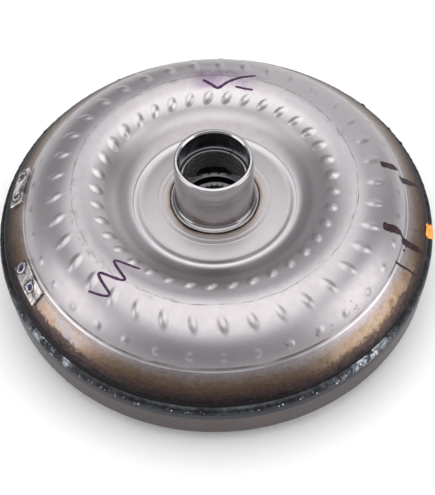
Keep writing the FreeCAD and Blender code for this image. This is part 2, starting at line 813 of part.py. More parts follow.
def make_turbine_shell():
    wall = cell("turbine_wall")
    inside = cell("torus_section") - cell("shell_wall")
    outside = inside + wall
    top = cell("split_height") - cell("split_half")
    foot_top = cell("turbine_foot_top")
    foot_low = foot_top - wall
    foot = cell("turbine_foot")
    body = revolved("turbine_shell", [
        (foot, foot_low),
        (torus_r - leg(outside, torus_z - foot_low), foot_low, outside, LEFT),
        (torus_r + outside, torus_z),
        (torus_r + outside, top),
        (torus_r + inside, top),
        (torus_r + inside, torus_z, inside, RIGHT),
        (torus_r - leg(inside, torus_z - foot_top), foot_top),
        (foot, foot_top),
    ])
    round_holes(body, cell("rivet_circle"), cell("rivet_radius"), cell("rivet_count"), "rivet_holes")


def spline(body, bore, count, name):
    """Straight-sided spline slots in a bore."""
    width = bore * (math.pi / 2) / count
    cut_all_round(body, [
        (bore - OVERLAP, -width / 2),
        (bore + cell("tooth_depth"), -width / 2),
        (bore + cell("tooth_depth"), width / 2),
        (bore - OVERLAP, width / 2),
    ], count, name)


def make_turbine_hub():
    bore = cell("turbine_spline")
    barrel = cell("barrel_radius")
    foot = cell("turbine_foot_top")
    register = cell("turbine_foot")
    seal = cell("seal_height")
    half = cell("seal_width") / 2
    groove = barrel - cell("seal_depth")
    body = revolved("turbine_hub", [
        (bore, cell("barrel_end")),
        (barrel, cell("barrel_end")),
        (barrel, seal - half),
        (groove, seal - half),
        (groove, seal + half),
        (barrel, seal + half),
        (barrel, foot - cell("turbine_wall")),
        (register, foot - cell("turbine_wall")),
        (register, foot),
        (cell("flange_radius"), foot),
        (cell("flange_radius"), cell("flange_top")),
        (bore, cell("flange_top")),
    ])
    round_holes(body, cell("rivet_circle"), cell("rivet_radius"), cell("rivet_count"), "rivet_holes")
    spline(body, bore, cell("turbine_teeth"), "spline")
    play = cell("seal_play")
    reach = barrel + cell("seal_reach")
    ring("piston_seal_ring", groove + play, reach, seal - half + play, seal + half - play)


def make_hub_rivets():
    foot_low = sheet.turbine_foot_top - sheet.turbine_wall
    place = Vector(sheet.rivet_circle, 0, foot_low)
    shank = Part.makeCylinder(sheet.rivet_radius, sheet.flange_top - foot_low, place)
    head_place = place - Vector(0, 0, sheet.rivet_head_thickness)
    head = Part.makeCylinder(sheet.rivet_head, sheet.rivet_head_thickness, head_place)
    shaped("turbine_hub_rivets", around(shank.fuse(head).removeSplitter(), sheet.rivet_count))


def make_driven_ring():
    """Ring on the back of the turbine shell, with tabs that reach down between the springs."""
    skin = sheet.torus_section - sheet.shell_wall + sheet.turbine_wall + sheet.blade_clearance
    low = sheet.driven_low - sheet.torus_height
    high = sheet.driven_high - sheet.torus_height

    def skin_r(height):
        return sheet.torus_radius + math.sqrt(skin ** 2 - height ** 2)

    middle = (low + high) / 2
    section = upright([
        [(skin_r(low), low), (skin_r(middle), middle), (skin_r(high), high)],
        [(skin_r(high), high), (sheet.tab_outer, high)],
        [(sheet.tab_outer, high), (sheet.tab_outer, low)],
        [(sheet.tab_outer, low), (skin_r(low), low)],
    ])
    body = section.revolve(Vector(), UP, 360)
    body.translate(Vector(0, 0, sheet.torus_height))
    tab_high = sheet.driven_low + OVERLAP
    tab = sector(sheet.tab_inner, sheet.tab_outer, sheet.tab_low, tab_high, sheet.stop_half)
    tabs = around(tab, sheet.spring_count)
    shaped("damper_driven_ring", body.fuse(tabs.Solids).removeSplitter())


# ---------------------------------------------------------------------------------------------
# Stator with its one-way clutch
# ---------------------------------------------------------------------------------------------


def make_stator():
    low = cell("stator_low")
    high = cell("stator_high")
    cap = cell("cap_thickness")
    race = cell("race_radius")
    cam = cell("cam_radius")
    play = cell("cap_clearance")
    inset = cell("race_inset")
    body = ring("stator_inner_race", cell("race_spline"), race, low + inset, high - inset)
    spline(body, cell("race_spline"), cell("race_teeth"), "spline")
    ring("stator_front_cap", race + play, cam, low, low + cap)
    cam_low = low + cap
    cam_high = high - cap - cell("snap_thickness")
    ring("stator_rear_cap", race + play, cam, cam_high, cam_high + cap)

    body = ring("clutch_cam", cell("cam_bore"), cam, cam_low, cam_high)
    pitch = race + cell("roller_radius") + cell("roller_clearance")
    round_holes(body, pitch, cell("pocket_radius"), cell("roller_count"), "roller_pockets")
    turn = math.radians(sheet.spring_turn)
    spring_place = Vector(pitch.value * math.cos(turn), pitch.value * math.sin(turn), cam_low.value)
    spring_cut = Part.makeCylinder(sheet.spring_pocket, (cam_high - cam_low).value, spring_place)
    cut_tool = document.addObject("Part::Feature", "spring_pockets")
    cut_tool.Shape = around(spring_cut, sheet.roller_count)
    document.recompute()
    pieces.remove(body)
    body.Label = "clutch_cam_blank"
    keep(boolean("Cut", "clutch_cam_finished", body, cut_tool), "clutch_cam")

    roller_low = cam_low.value + sheet.roller_end_play
    roller_high = cam_high.value - sheet.roller_end_play
    roller_place = Vector(pitch.value, 0, roller_low)
    roller = Part.makeCylinder(sheet.roller_radius, roller_high - roller_low, roller_place)
    shaped("clutch_rollers", around(roller, sheet.roller_count))

    # each spring is a rolled leaf between roller and pocket wall
    leaf_low = cam_low.value + sheet.leaf_inset
    leaf_high = cam_high.value - sheet.leaf_inset
    leaf = hollow(sheet.leaf_radius - sheet.leaf_wall, sheet.leaf_radius, leaf_low, leaf_high)
    leaf.translate(Vector(spring_place.x, spring_place.y, 0))
    shaped("clutch_springs", around(leaf, sheet.roller_count))


def make_stator_wheel():
    low = sheet.stator_low
    high = sheet.stator_high
    hub = hollow(sheet.cam_radius, sheet.stator_hub_radius, low, high)
    groove_r = sheet.cam_radius + sheet.snap_depth
    groove_low = high - sheet.snap_thickness
    hub = hub.cut(Part.makeCylinder(groove_r, sheet.snap_thickness, Vector(0, 0, groove_low)))
    rise = sheet.shroud_high - sheet.shroud_low
    shroud = hollow(sheet.shroud_bore, sheet.shroud_radius, sheet.shroud_low, sheet.shroud_high)
    start = sheet.stator_hub_radius - OVERLAP
    reach = sheet.shroud_bore + OVERLAP - start
    chord = 2 * rise
    corner = Vector(start, -sheet.vane_thickness / 2, -chord / 2)
    vane = Part.makeBox(reach, sheet.vane_thickness, chord, corner)
    vane.rotate(Vector(), Vector(1, 0, 0), sheet.vane_slant)
    vane.translate(Vector(0, 0, (sheet.shroud_high + sheet.shroud_low) / 2))
    wide = 2 * sheet.shroud_radius
    vane_low = Vector(-wide / 2, -wide / 2, sheet.shroud_low + sheet.vane_inset)
    band = Part.makeBox(wide, wide, rise - 2 * sheet.vane_inset, vane_low)
    vanes = around(vane.common(band), sheet.vane_count)
    shaped("stator_wheel", hub.fuse([shroud] + vanes.Solids).removeSplitter())

    play = sheet.snap_play
    snap_bore = sheet.cam_radius - sheet.cap_thickness
    closed = 360 - sheet.snap_gap
    snap = hollow(snap_bore, groove_r - play, groove_low + play, high - play, closed)
    shaped("stator_snap_ring", snap)


# ---------------------------------------------------------------------------------------------
# Needle thrust bearings
# ---------------------------------------------------------------------------------------------


def make_bearing(name, middle, lower_race, upper_race):
    """Needles in a cage between two race washers, at a height on the axis."""
    half_cage = cell("cage_thickness") / 2
    cage_low = middle - half_cage
    cage_high = middle + half_cage
    body = ring(name + "_cage", cell("cage_inner"), cell("cage_outer"), cage_low, cage_high)
    half = cell("needle_radius") + cell("cage_play")
    near = cell("needle_inner") - cell("cage_play")
    far = cell("needle_outer") + cell("cage_play")
    slot = [(near, -half), (far, -half), (far, half), (near, half)]
    cut_all_round(body, slot, cell("needle_count"), "slots")
    length = sheet.needle_outer - sheet.needle_inner
    place = Vector(sheet.needle_inner, 0, middle.value)
    needle = Part.makeCylinder(sheet.needle_radius, length, place, Vector(1, 0, 0))
    shaped(name + "_needles", around(needle, sheet.needle_count))
    gap = cell("needle_radius") + cell("needle_play")
    thick = cell("race_thickness")
    inner = cell("washer_inner")
    rim = cell("washer_outer")
    ring(lower_race, inner, rim, middle - gap - thick, middle - gap)
    ring(upper_race, inner, rim, middle + gap, middle + gap + thick)


# ---------------------------------------------------------------------------------------------
# Lock-up piston and torsional damper
# ---------------------------------------------------------------------------------------------


def make_piston():
    lining_low = cell("cover_face") + cell("cover_wall") + cell("piston_gap")
    low = lining_low + cell("lining_thickness")
    high = low + cell("piston_wall")
    bore = cell("piston_bore")
    collar = cell("collar_radius")
    body = revolved("lockup_piston", [
        (bore, low),
        (cell("piston_radius"), low),
        (cell("piston_radius"), high),
        (collar, high),
        (collar, low + cell("collar_height")),
        (bore, low + cell("collar_height")),
    ])
    wide = cell("piston_radius") + OVERLAP
    slope = math.tan(math.radians(sheet.notch_half))
    root_r = cell("notch_root")
    cut_all_round(body, [
        (root_r, -(root_r * slope)),
        (wide, -(wide * slope)),
        (wide, wide * slope),
        (root_r, root_r * slope),
    ], cell("spring_count"), "notches", 180.0 / sheet.spring_count)
    ring("friction_lining", cell("lining_inner"), cell("lining_outer"), lining_low, low)


def make_damper_carrier():
    """Dished ring that holds the springs, with stops between them and dogs for the piston."""
    low = sheet.carrier_low
    floor_top = low + sheet.carrier_wall
    rim_inner = sheet.carrier_outer - sheet.carrier_rim
    floor = hollow(sheet.carrier_inner, sheet.carrier_outer, low, floor_top)
    rim = hollow(rim_inner, sheet.carrier_outer, low, sheet.stop_top)
    stop_outer = rim_inner + OVERLAP
    stop_low = floor_top - OVERLAP
    stop = sector(sheet.stop_inner, stop_outer, stop_low, sheet.stop_top, sheet.stop_half)
    stops = around(stop, sheet.spring_count)
    dog = sector(rim_inner, sheet.carrier_outer, sheet.dog_low, low + OVERLAP, sheet.dog_half)
    dogs = around(dog, sheet.spring_count, 180.0 / sheet.spring_count)
    carrier = floor.fuse([rim] + stops.Solids + dogs.Solids).removeSplitter()

    top = sheet.stop_top + sheet.end_ring_thickness
    shank = Part.makeCylinder(sheet.damper_rivet, top - low, Vector(sheet.damper_rivet_circle, 0, low))
    shanks = around(shank, sheet.spring_count).Solids
    shaped("damper_carrier", carrier.cut(shanks))
    plate = hollow(sheet.stop_inner, sheet.carrier_outer, sheet.stop_top, top)
    shaped("damper_end_ring", plate.cut(shanks))

    head_place = Vector(sheet.damper_rivet_circle, 0, top)
    head = Part.makeCylinder(sheet.damper_rivet_head, sheet.damper_head_thickness, head_place)
    shaped("damper_rivets", around(shank.fuse(head).removeSplitter(), sheet.spring_count))


def make_damper_springs():
    """Straight coil springs, each across its own part of the spring circle."""
    half_length = sheet.spring_circle * math.sin(math.radians(sheet.spring_half))
    offset = sheet.spring_circle * math.cos(math.radians(sheet.spring_half))
    usable = 2 * (half_length - sheet.spring_wire)
    helix = Part.makeHelix(usable / sheet.spring_turns, usable, sheet.spring_coil)
    start = Vector(sheet.spring_coil, 0, 0)
    wire = Part.Wire(Part.makeCircle(sheet.spring_wire, start, Vector(0, 1, 0)))
    coil = Part.Wire(helix.Edges).makePipeShell([wire], True, True)
    coil.translate(Vector(0, 0, -usable / 2))
    coil.rotate(Vector(), Vector(1, 0, 0), 90)
    coil.translate(Vector(offset + sheet.spring_offset, 0, sheet.spring_height))
    shaped("damper_springs", around(coil, sheet.spring_count, 180.0 / sheet.spring_count))


# ---------------------------------------------------------------------------------------------
# Build, test and write
# ---------------------------------------------------------------------------------------------

make_cover()
make_pilot()
make_lugs()
make_impeller_shell()
make_closure_weld()
make_pump_hub()
make_hub_weld()
make_bush()
make_weights()
make_blades()
make_cores()
make_turbine_shell()
make_turbine_hub()
make_hub_rivets()
make_driven_ring()
make_stator()
make_stator_wheel()

bearing_half = cell("race_thickness") + cell("needle_radius") + cell("needle_play")
pump_bearing = cell("stator_high") + bearing_half
turbine_bearing = cell("stator_low") - bearing_half
make_bearing("pump_bearing", pump_bearing, "stator_pump_side_race", "pump_bearing_race")
make_bearing("turbine_bearing", turbine_bearing, "turbine_bearing_race", "stator_turbine_side_race")

cover_inside = cell("cover_face") + cell("cover_wall")
washer_top = cover_inside + cell("washer_thickness")
ring("front_thrust_washer", cell("washer_bore"), cell("washer_radius"), cover_inside, washer_top)
make_piston()
make_damper_carrier()
make_damper_springs()

document.recompute()
for thing in document.Objects:
    if "Invalid" in thing.State or "Error" in thing.State:
        raise RuntimeError(f"{thing.Label} is {thing.State}")
for piece in pieces:
    if piece.Shape.isNull() or not piece.Shape.isValid():
        raise RuntimeError(f"{piece.Label} has no valid shape")

os.makedirs("parts", exist_ok=True)
for piece in pieces:
    piece.Shape.exportStep(f"parts/{piece.Label}.step")
    print(f"{piece.Label}: {len(piece.Shape.Solids)} solids, {piece.Shape.Volume:.0f} mm3")
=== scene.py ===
import json
import math

import bpy
import numpy as np
from mathutils import Matrix, Vector, noise

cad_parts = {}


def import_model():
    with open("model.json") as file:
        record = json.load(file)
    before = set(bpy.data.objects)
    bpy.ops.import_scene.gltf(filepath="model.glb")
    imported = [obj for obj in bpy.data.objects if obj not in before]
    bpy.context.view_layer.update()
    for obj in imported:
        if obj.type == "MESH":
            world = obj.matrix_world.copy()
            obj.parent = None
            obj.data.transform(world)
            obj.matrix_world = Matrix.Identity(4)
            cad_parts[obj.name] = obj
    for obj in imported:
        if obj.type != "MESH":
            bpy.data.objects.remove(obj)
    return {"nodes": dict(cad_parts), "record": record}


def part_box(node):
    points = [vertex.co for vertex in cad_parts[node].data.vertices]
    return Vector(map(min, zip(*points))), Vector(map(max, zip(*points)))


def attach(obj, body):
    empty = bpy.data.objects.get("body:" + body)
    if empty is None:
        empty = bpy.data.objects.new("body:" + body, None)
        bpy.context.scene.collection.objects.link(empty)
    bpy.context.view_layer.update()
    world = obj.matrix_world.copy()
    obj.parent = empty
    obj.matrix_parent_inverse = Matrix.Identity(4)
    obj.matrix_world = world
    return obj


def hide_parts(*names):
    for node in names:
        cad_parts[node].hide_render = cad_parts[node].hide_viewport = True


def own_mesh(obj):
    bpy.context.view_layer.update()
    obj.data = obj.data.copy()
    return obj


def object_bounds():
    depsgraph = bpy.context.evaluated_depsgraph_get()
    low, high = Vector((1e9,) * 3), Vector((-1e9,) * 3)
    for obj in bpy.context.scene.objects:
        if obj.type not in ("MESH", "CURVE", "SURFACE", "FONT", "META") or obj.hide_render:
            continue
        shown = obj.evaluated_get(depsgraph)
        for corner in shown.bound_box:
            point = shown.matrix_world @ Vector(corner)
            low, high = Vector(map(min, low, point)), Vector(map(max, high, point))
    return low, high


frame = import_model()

# Torque converter, standing on its drive lugs with the pump hub up. Everything is in metres in the
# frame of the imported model: +Z is the axis of rotation. Profiles are worked out in millimetres.

MM = 0.001
HOUSING = "housing"
cad_box = [list(map(float, corner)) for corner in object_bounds()]


def node_radius(node):
    """Outside radius of a round CAD node, in millimetres."""
    low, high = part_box(node)
    return (high[0] - low[0]) / 2 / MM


def node_heights(node):
    """Lowest and highest point of a CAD node, in millimetres."""
    low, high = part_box(node)
    return low[2] / MM, high[2] / MM


# ---- Sizes of the visible pieces, from the frame ----

SKIRT_R = node_radius("impeller_shell")
SKIRT_LOW, CREST_Z = node_heights("impeller_shell")
RIM_R = node_radius("front_cover")
RIM_HIGH = node_heights("front_cover")[1]
WELD_TOP = node_heights("closure_weld")[1]
HUB_END, HUB_TOP = node_heights("impeller_hub")
FOOT_R = node_radius("impeller_hub")
BUSH_HIGH = node_heights("hub_bush")[1]

# section of the shell and bores of the hub, in millimetres and degrees
WALL = 3.6
TORUS_R = 86.0
SECTION = 29.4
TORUS_Z = CREST_Z - SECTION
OUTER_BEND = 37.6
OUTER_SLOPE = 12.0
FOLD_SLOPE = 61.0
FOLD_BEND = 3.0
SHOULDER_SLOPE = 43.0
SHOULDER_BEND = 4.0
DISH_Z = 60.0
DISH_R = 50.2
BLEND_R = 66.0
BLEND_BEND = 41.3
SPIGOT_R = 25.0
HUB_R = 23.8
HUB_BORE = 20.7
BUSH_BORE = 19.05
BLADES = 37
SHELL_SEGMENTS = BLADES * 28
HUB_SEGMENTS = 360


def slope_point(centre, reach, slope):
    """Point from a centre, in the outward direction of a face with that slope in degrees."""
    turn = math.radians(slope)
    return centre[0] + reach * math.sin(turn), centre[1] + reach * math.cos(turn)


BLEND_ANGLE = math.degrees(math.acos((BLEND_R - TORUS_R) / SECTION))
BLEND_CENTRE = (
    TORUS_R + (SECTION + BLEND_BEND) * math.cos(math.radians(BLEND_ANGLE)),
    TORUS_Z + (SECTION + BLEND_BEND) * math.sin(math.radians(BLEND_ANGLE)),
)
OUTER_CENTRE = slope_point((TORUS_R, TORUS_Z), SECTION - OUTER_BEND, OUTER_SLOPE)
FOLD_CENTRE = slope_point(OUTER_CENTRE, OUTER_BEND + FOLD_BEND, FOLD_SLOPE)
CONE_START = slope_point(FOLD_CENTRE, -FOLD_BEND, SHOULDER_SLOPE)
FOLD_R = CONE_START[0]
CONE = math.tan(math.radians(SHOULDER_SLOPE))
BEND_R = SKIRT_R - SHOULDER_BEND
BEND_Z = CONE_START[1] - SHOULDER_BEND / math.cos(math.radians(SHOULDER_SLOPE)) - (BEND_R - FOLD_R) * CONE
BEND_CENTRE = (BEND_R, BEND_Z)
CONE_END = slope_point(BEND_CENTRE, SHOULDER_BEND, SHOULDER_SLOPE)


# ---- Profiles and turned meshes ----


def arc(centre, radius, start, end, step):
    """Points on an arc, angles in degrees, about step millimetres apart, both ends included."""
    count = max(2, math.ceil(abs(math.radians(end - start)) * radius / step))
    turns = np.radians(np.linspace(start, end, count + 1))
    return [(centre[0] + radius * math.cos(t), centre[1] + radius * math.sin(t)) for t in turns]


def line(start, end, step):
    """Points on a straight run, about step millimetres apart, both ends included."""
    count = max(1, math.ceil(math.dist(start, end) / step))
    first, way = np.array(start), np.array(end) - np.array(start)
    return [tuple(first + way * k / count) for k in range(count + 1)]


def joined(*runs):
    """One list of points from several runs, without the doubled points where they meet."""
    points = []
    for run in runs:
        for point in run:
            if not points or math.dist(points[-1], point) > 1e-4:
                points.append(point)
    return np.array(points)


def normals_of(points, closed):
    """Unit normals of a profile, to the right of its way (outwards for inside-to-outside at the top)."""
    if closed:
        before = np.roll(points, 1, axis=0)
        after = np.roll(points, -1, axis=0)
    else:
        before = np.vstack([points[:1], points[:-1]])
        after = np.vstack([points[1:], points[-1:]])
    way = after - before
    way /= np.linalg.norm(way, axis=1)[:, None]
    return np.stack([-way[:, 1], way[:, 0]], axis=1)


def make_piece(name, verts, faces, material, angle=40, body=HOUSING):
    """Mesh object from points in millimetres, riding on a body."""
    mesh = bpy.data.meshes.new(name)
    mesh.from_pydata((np.asarray(verts) * MM).tolist(), [], faces)
    mesh.validate()
    mesh.update()
    thing = bpy.data.objects.new(name, mesh)
    bpy.context.collection.objects.link(thing)
    mesh.shade_smooth()
    mesh.set_sharp_from_angle(angle=math.radians(angle))
    mesh.materials.append(material)
    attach(thing, body)
    return thing


def turned(name, profile, segments, material, lift=None, angle=40):
    """Closed profile turned about Z; lift(points, normals, turn) moves points along their normals."""
    profile = np.asarray(profile, dtype=float)
    count = len(profile)
    normals = normals_of(profile, True)
    turns = np.arange(segments) * 2 * math.pi / segments
    r = np.broadcast_to(profile[:, 0], (segments, count)).copy()
    z = np.broadcast_to(profile[:, 1], (segments, count)).copy()
    if lift is not None:
        rise = lift(profile, turns)
        r += rise * normals[:, 0]
        z += rise * normals[:, 1]
    x = r * np.cos(turns)[:, None]
    y = r * np.sin(turns)[:, None]
    verts = np.stack([x, y, z], axis=2).reshape(-1, 3)
    k = np.arange(segments)[:, None] * count
    k_next = (np.arange(segments)[:, None] + 1) % segments * count
    j = np.arange(count)[None, :]
    j_next = (j + 1) % count
    faces = np.stack([k + j, k_next + j, k_next + j_next, k + j_next], axis=2).reshape(-1, 4)
    return make_piece(name, verts, faces.tolist(), material, angle=angle)


# ---- Node helpers ----


class Nodes:
    """Short forms for building one material's node tree."""

    def __init__(self, name):
        self.material = bpy.data.materials.new(name)
        self.material.use_nodes = True
        self.tree = self.material.node_tree
        self.shader = self.tree.nodes["Principled BSDF"]
        self.place = self.add("ShaderNodeTexCoord").outputs["Object"]

    def add(self, kind, **settings):
        node = self.tree.nodes.new(kind)
        for key, value in settings.items():
            setattr(node, key, value)
        return node

    def wire(self, source, target):
        """Link a socket, or set a plain value."""
        if isinstance(source, bpy.types.NodeSocket):
            self.tree.links.new(source, target)
        else:
            target.default_value = source

    def math(self, operation, first, second=0.0):
        node = self.add("ShaderNodeMath", operation=operation)
        self.wire(first, node.inputs[0])
        self.wire(second, node.inputs[1])
        return node.outputs[0]

    def times(self, first, second):
        return self.math("MULTIPLY", first, second)

    def plus(self, first, second):
        return self.math("ADD", first, second)

    def minus(self, first, second):
        return self.math("SUBTRACT", first, second)

    def most(self, first, second):
        return self.math("MAXIMUM", first, second)

    def span(self, value, low, high, out_low=0.0, out_high=1.0, smooth=False):
        """Map low..high to out_low..out_high, clamped."""
        node = self.add("ShaderNodeMapRange", interpolation_type="SMOOTHSTEP" if smooth else "LINEAR")
        for index, source in enumerate((value, low, high, out_low, out_high)):
            self.wire(source, node.inputs[index])
        return node.outputs[0]

    def band(self, value, centre, half, soft):
        """1 inside centre plus or minus half, fading over soft."""
        away = self.math("ABSOLUTE", self.minus(value, centre))
        return self.span(away, half, half + soft, 1.0, 0.0, smooth=True)

    def scaled(self, scale):
        node = self.add("ShaderNodeMapping")
        self.wire(self.place, node.inputs["Vector"])
        node.inputs["Scale"].default_value = scale
        return node.outputs[0]

    def noise(self, scale, detail=3.0, rough=0.5, place=None):
        node = self.add("ShaderNodeTexNoise")
        self.wire(place or self.place, node.inputs["Vector"])
        node.inputs["Scale"].default_value = scale
        node.inputs["Detail"].default_value = detail
        node.inputs["Roughness"].default_value = rough
        return node.outputs["Fac"]

    def cells(self, scale):
        node = self.add("ShaderNodeTexVoronoi")
        self.wire(self.place, node.inputs["Vector"])
        node.inputs["Scale"].default_value = scale
        return node.outputs["Distance"]

    def ramp(self, value, stops):
        node = self.add("ShaderNodeValToRGB")
        self.wire(value, node.inputs["Fac"])
        marks = node.color_ramp.elements
        while len(marks) < len(stops):
            marks.new(0.5)
        for mark, (position, colour) in zip(marks, stops):
            mark.position = position
            mark.color = tuple(colour) + (1.0,)
        return node.outputs["Color"]

    def mix(self, factor, first, second):
        node = self.add("ShaderNodeMix", data_type="RGBA")
        self.wire(factor, node.inputs["Factor"])
        for socket, source in ((node.inputs[6], first), (node.inputs[7], second)):
            self.wire(tuple(source) + (1.0,) if isinstance(source, tuple) else source, socket)
        return node.outputs[2]

    def cylinder(self):
        """Radius and height in millimetres, and the turn in degrees, of the shaded point."""
        split = self.add("ShaderNodeSeparateXYZ")
        self.wire(self.place, split.inputs[0])
        x, y, z = split.outputs
        squares = self.plus(self.times(x, x), self.times(y, y))
        radius = self.times(self.math("SQRT", squares), 1 / MM)
        height = self.times(z, 1 / MM)
        turn = self.times(self.math("ARCTAN2", y, x), 180 / math.pi)
        return radius, height, turn

    def around(self, radius, height, turn, stretch):
        """Coordinates that run along the turning direction: radius, height and turn * stretch."""
        join = self.add("ShaderNodeCombineXYZ")
        self.wire(radius, join.inputs[0])
        self.wire(height, join.inputs[1])
        self.wire(self.times(turn, stretch), join.inputs[2])
        return join.outputs[0]

    def bump(self, height, strength, distance, under=None):
        node = self.add("ShaderNodeBump")
        node.inputs["Strength"].default_value = strength
        node.inputs["Distance"].default_value = distance
        self.wire(height, node.inputs["Height"])
        if under is not None:
            self.wire(under, node.inputs["Normal"])
        return node.outputs["Normal"]

    def finish(self, colour, rough, normal=None, metallic=1.0, **plain):
        inputs = self.shader.inputs
        inputs["Metallic"].default_value = metallic
        for source, name in ((colour, "Base Color"), (rough, "Roughness"), (normal, "Normal")):
            if source is not None:
                if isinstance(source, tuple):
                    source = source + (1.0,)
                self.wire(source, inputs[name])
        for name, value in plain.items():
            inputs[name.replace("_", " ")].default_value = value
        return self.material


# ---- Materials ----


def shell_material():
    """Satin pressed steel with a scribed ring, handling marks and heat tint towards the welds."""
    n = Nodes("shell_steel")
    radius, height, turn = n.cylinder()
    patches = n.noise(14.0, 4.0, 0.55)
    fine = n.noise(220.0, 4.0, 0.6)
    grain = n.noise(1.0, 3.0, 0.6, n.around(n.times(radius, 1.6), height, turn, 0.08))
    steel = n.ramp(patches, [(0.3, (0.375, 0.350, 0.364)), (0.7, (0.435, 0.408, 0.421))])
    steel = n.mix(n.span(fine, 0.35, 0.65, 0.0, 0.25), steel, (0.315, 0.292, 0.302))

    # painted light: lighter rings on the inner slope and the shoulder, guessed from the photograph's
    # brightness
    inner_slope_painted_light = n.times(n.band(radius, 69.0, 5.5, 6.0), 0.75)
    steel = n.mix(inner_slope_painted_light, steel, (0.515, 0.488, 0.498))
    shoulder = n.times(n.band(radius, 96.0, 8.0, 7.0), 0.25)
    steel = n.mix(shoulder, steel, (0.55, 0.52, 0.53))

    # turned seat round the hub
    seat = n.ramp(patches, [(0.3, (0.375, 0.356, 0.363)), (0.7, (0.425, 0.404, 0.412))])
    steel = n.mix(n.times(n.band(radius, 38.0, 8.0, 2.0), 0.9), steel, seat)

    # faint violet haze at the back mark
    haze = n.times(n.band(turn, 84.0, 9.0, 8.0), n.band(radius, 84.5, 5.0, 5.0))
    haze = n.times(haze, n.span(n.noise(55.0, 4.0, 0.65), 0.38, 0.62, 0.1, 0.6))
    steel = n.mix(haze, steel, (0.20, 0.12, 0.215))

    # dark ring of ink and scratches at the crest
    wander = n.span(n.noise(60.0, 4.0, 0.6), 0.3, 0.7, -0.9, 0.9)
    ring = n.band(n.plus(radius, wander), 86.6, 0.10, 0.40)
    broken = n.span(n.noise(95.0, 4.0, 0.75), 0.36, 0.62)
    ring = n.times(ring, broken)
    strand = n.band(n.minus(radius, n.times(wander, 1.3)), 86.2, 0.05, 0.30)
    strand = n.times(strand, n.span(n.noise(70.0, 4.0, 0.7), 0.46, 0.62, 0.0, 0.6))
    ring = n.most(ring, strand)
    smudge = n.times(n.band(radius, 86.8, 1.6, 2.5), n.span(n.noise(60.0, 4.0, 0.7), 0.55, 0.7))
    left = n.times(n.span(turn, -178.0, -168.0), n.span(turn, -146.0, -128.0, 1.0, 0.0))
    handled = n.times(left, n.band(radius, 87.0, 1.0, 2.6))
    handled = n.times(handled, n.span(n.noise(150.0, 5.0, 0.8), 0.47, 0.62))
    smudge = n.most(smudge, n.times(handled, 1.6))
    mark = n.most(n.times(ring, 0.75), n.times(smudge, 0.35))
    steel = n.mix(mark, steel, (0.10, 0.09, 0.09))

    # painted shade on the dish wall just outside the bead, guessed the same way
    dish_wall_painted_shade = n.times(n.band(radius, 55.8, 2.0, 4.0), 0.35)
    steel = n.mix(dish_wall_painted_shade, steel, (0.19, 0.175, 0.178))

    # darker line along the fold, in patches
    crease = n.times(n.band(radius, FOLD_R - 0.6, 0.15, 0.35), n.span(n.noise(50.0, 3.0), 0.35, 0.6))
    steel = n.mix(n.times(crease, 0.75), steel, (0.07, 0.055, 0.055))

    # lighter bead of the dish, partly a real polish and partly painted highlight
    bead_polish_and_highlight = n.band(radius, 49.2, 1.2, 1.6)
    steel = n.mix(n.times(bead_polish_and_highlight, 0.5), steel, (0.56, 0.54, 0.55))

    # rusty specks at the front right
    corner = n.times(n.band(turn, -55.0, 12.0, 8.0), n.band(radius, 110.5, 3.5, 3.0))
    clumps = n.span(n.noise(75.0, 3.0, 0.6), 0.55, 0.60)
    rust = n.times(n.span(n.cells(560.0), 0.24, 0.40, 1.0, 0.0), clumps)
    steel = n.mix(n.times(n.times(corner, rust), 0.8), steel, (0.09, 0.035, 0.025))

    # small dark specks
    specks = n.times(n.span(n.cells(150.0), 0.05, 0.10, 1.0, 0.0), n.span(n.noise(9.0), 0.6, 0.68))
    steel = n.mix(n.times(specks, 0.7), steel, (0.05, 0.045, 0.045))

    # heat tint from the closure weld, over the conical shoulder: darker on the left than the right
    reach = n.times(n.minus(radius, FOLD_R), 1 / math.cos(math.radians(SHOULDER_SLOPE)))
    sink = n.minus(BEND_Z + 2.0, height)
    reach = n.plus(reach, n.most(sink, 0.0))
    uneven = n.span(n.noise(26.0, 5.0, 0.6), 0.25, 0.75, -1.7, 1.7)
    streaks = n.noise(1.0, 3.0, 0.6, n.around(n.times(radius, 0.5), height, turn, 0.35))
    uneven = n.plus(uneven, n.span(streaks, 0.3, 0.7, -1.2, 1.2))
    side = n.math("COSINE", n.times(n.plus(turn, 20.0), math.pi / 180))
    uneven = n.minus(uneven, n.times(side, 1.6))
    grains = n.span(n.noise(420.0, 4.0, 0.7), 0.3, 0.7, -1.5, 1.5)
    heat = n.span(n.plus(n.plus(reach, uneven), grains), 0.0, 21.0)
    tint = n.ramp(heat, [
        (0.02, (0.35, 0.312, 0.320)),
        (0.16, (0.285, 0.243, 0.235)),
        (0.33, (0.20, 0.145, 0.115)),
        (0.52, (0.135, 0.090, 0.062)),
        (0.68, (0.075, 0.053, 0.050)),
        (0.90, (0.024, 0.021, 0.023)),
    ])
    sand = n.ramp(n.noise(60.0, 5.0, 0.7), [
        (0.38, (0.27, 0.18, 0.11)),
        (0.52, (0.42, 0.32, 0.24)),
        (0.66, (0.20, 0.125, 0.075)),
    ])
    warm = n.times(n.band(turn, -42.0, 12.0, 16.0), n.band(heat, 0.36, 0.10, 0.14))
    tint = n.mix(n.times(warm, 0.6), tint, sand)
    pearl = n.ramp(n.noise(60.0, 3.0, 0.6), [
        (0.36, (0.24, 0.28, 0.40)),
        (0.48, (0.44, 0.39, 0.37)),
        (0.60, (0.42, 0.29, 0.21)),
        (0.70, (0.30, 0.19, 0.26)),
    ])
    patch = n.times(n.band(turn, -138.5, 6.0, 10.0), n.band(heat, 0.42, 0.12, 0.12))
    tint = n.mix(n.times(patch, 0.65), tint, pearl)
    steel = n.mix(n.span(reach, -0.6, 1.2), steel, tint)

    # lighter line just outside the fold, in patches
    outer_fold_line = n.times(n.band(reach, 0.9, 0.25, 0.35), n.span(n.noise(30.0, 3.0), 0.35, 0.55, 0.25, 0.9))
    steel = n.mix(outer_fold_line, steel, (0.72, 0.70, 0.71))

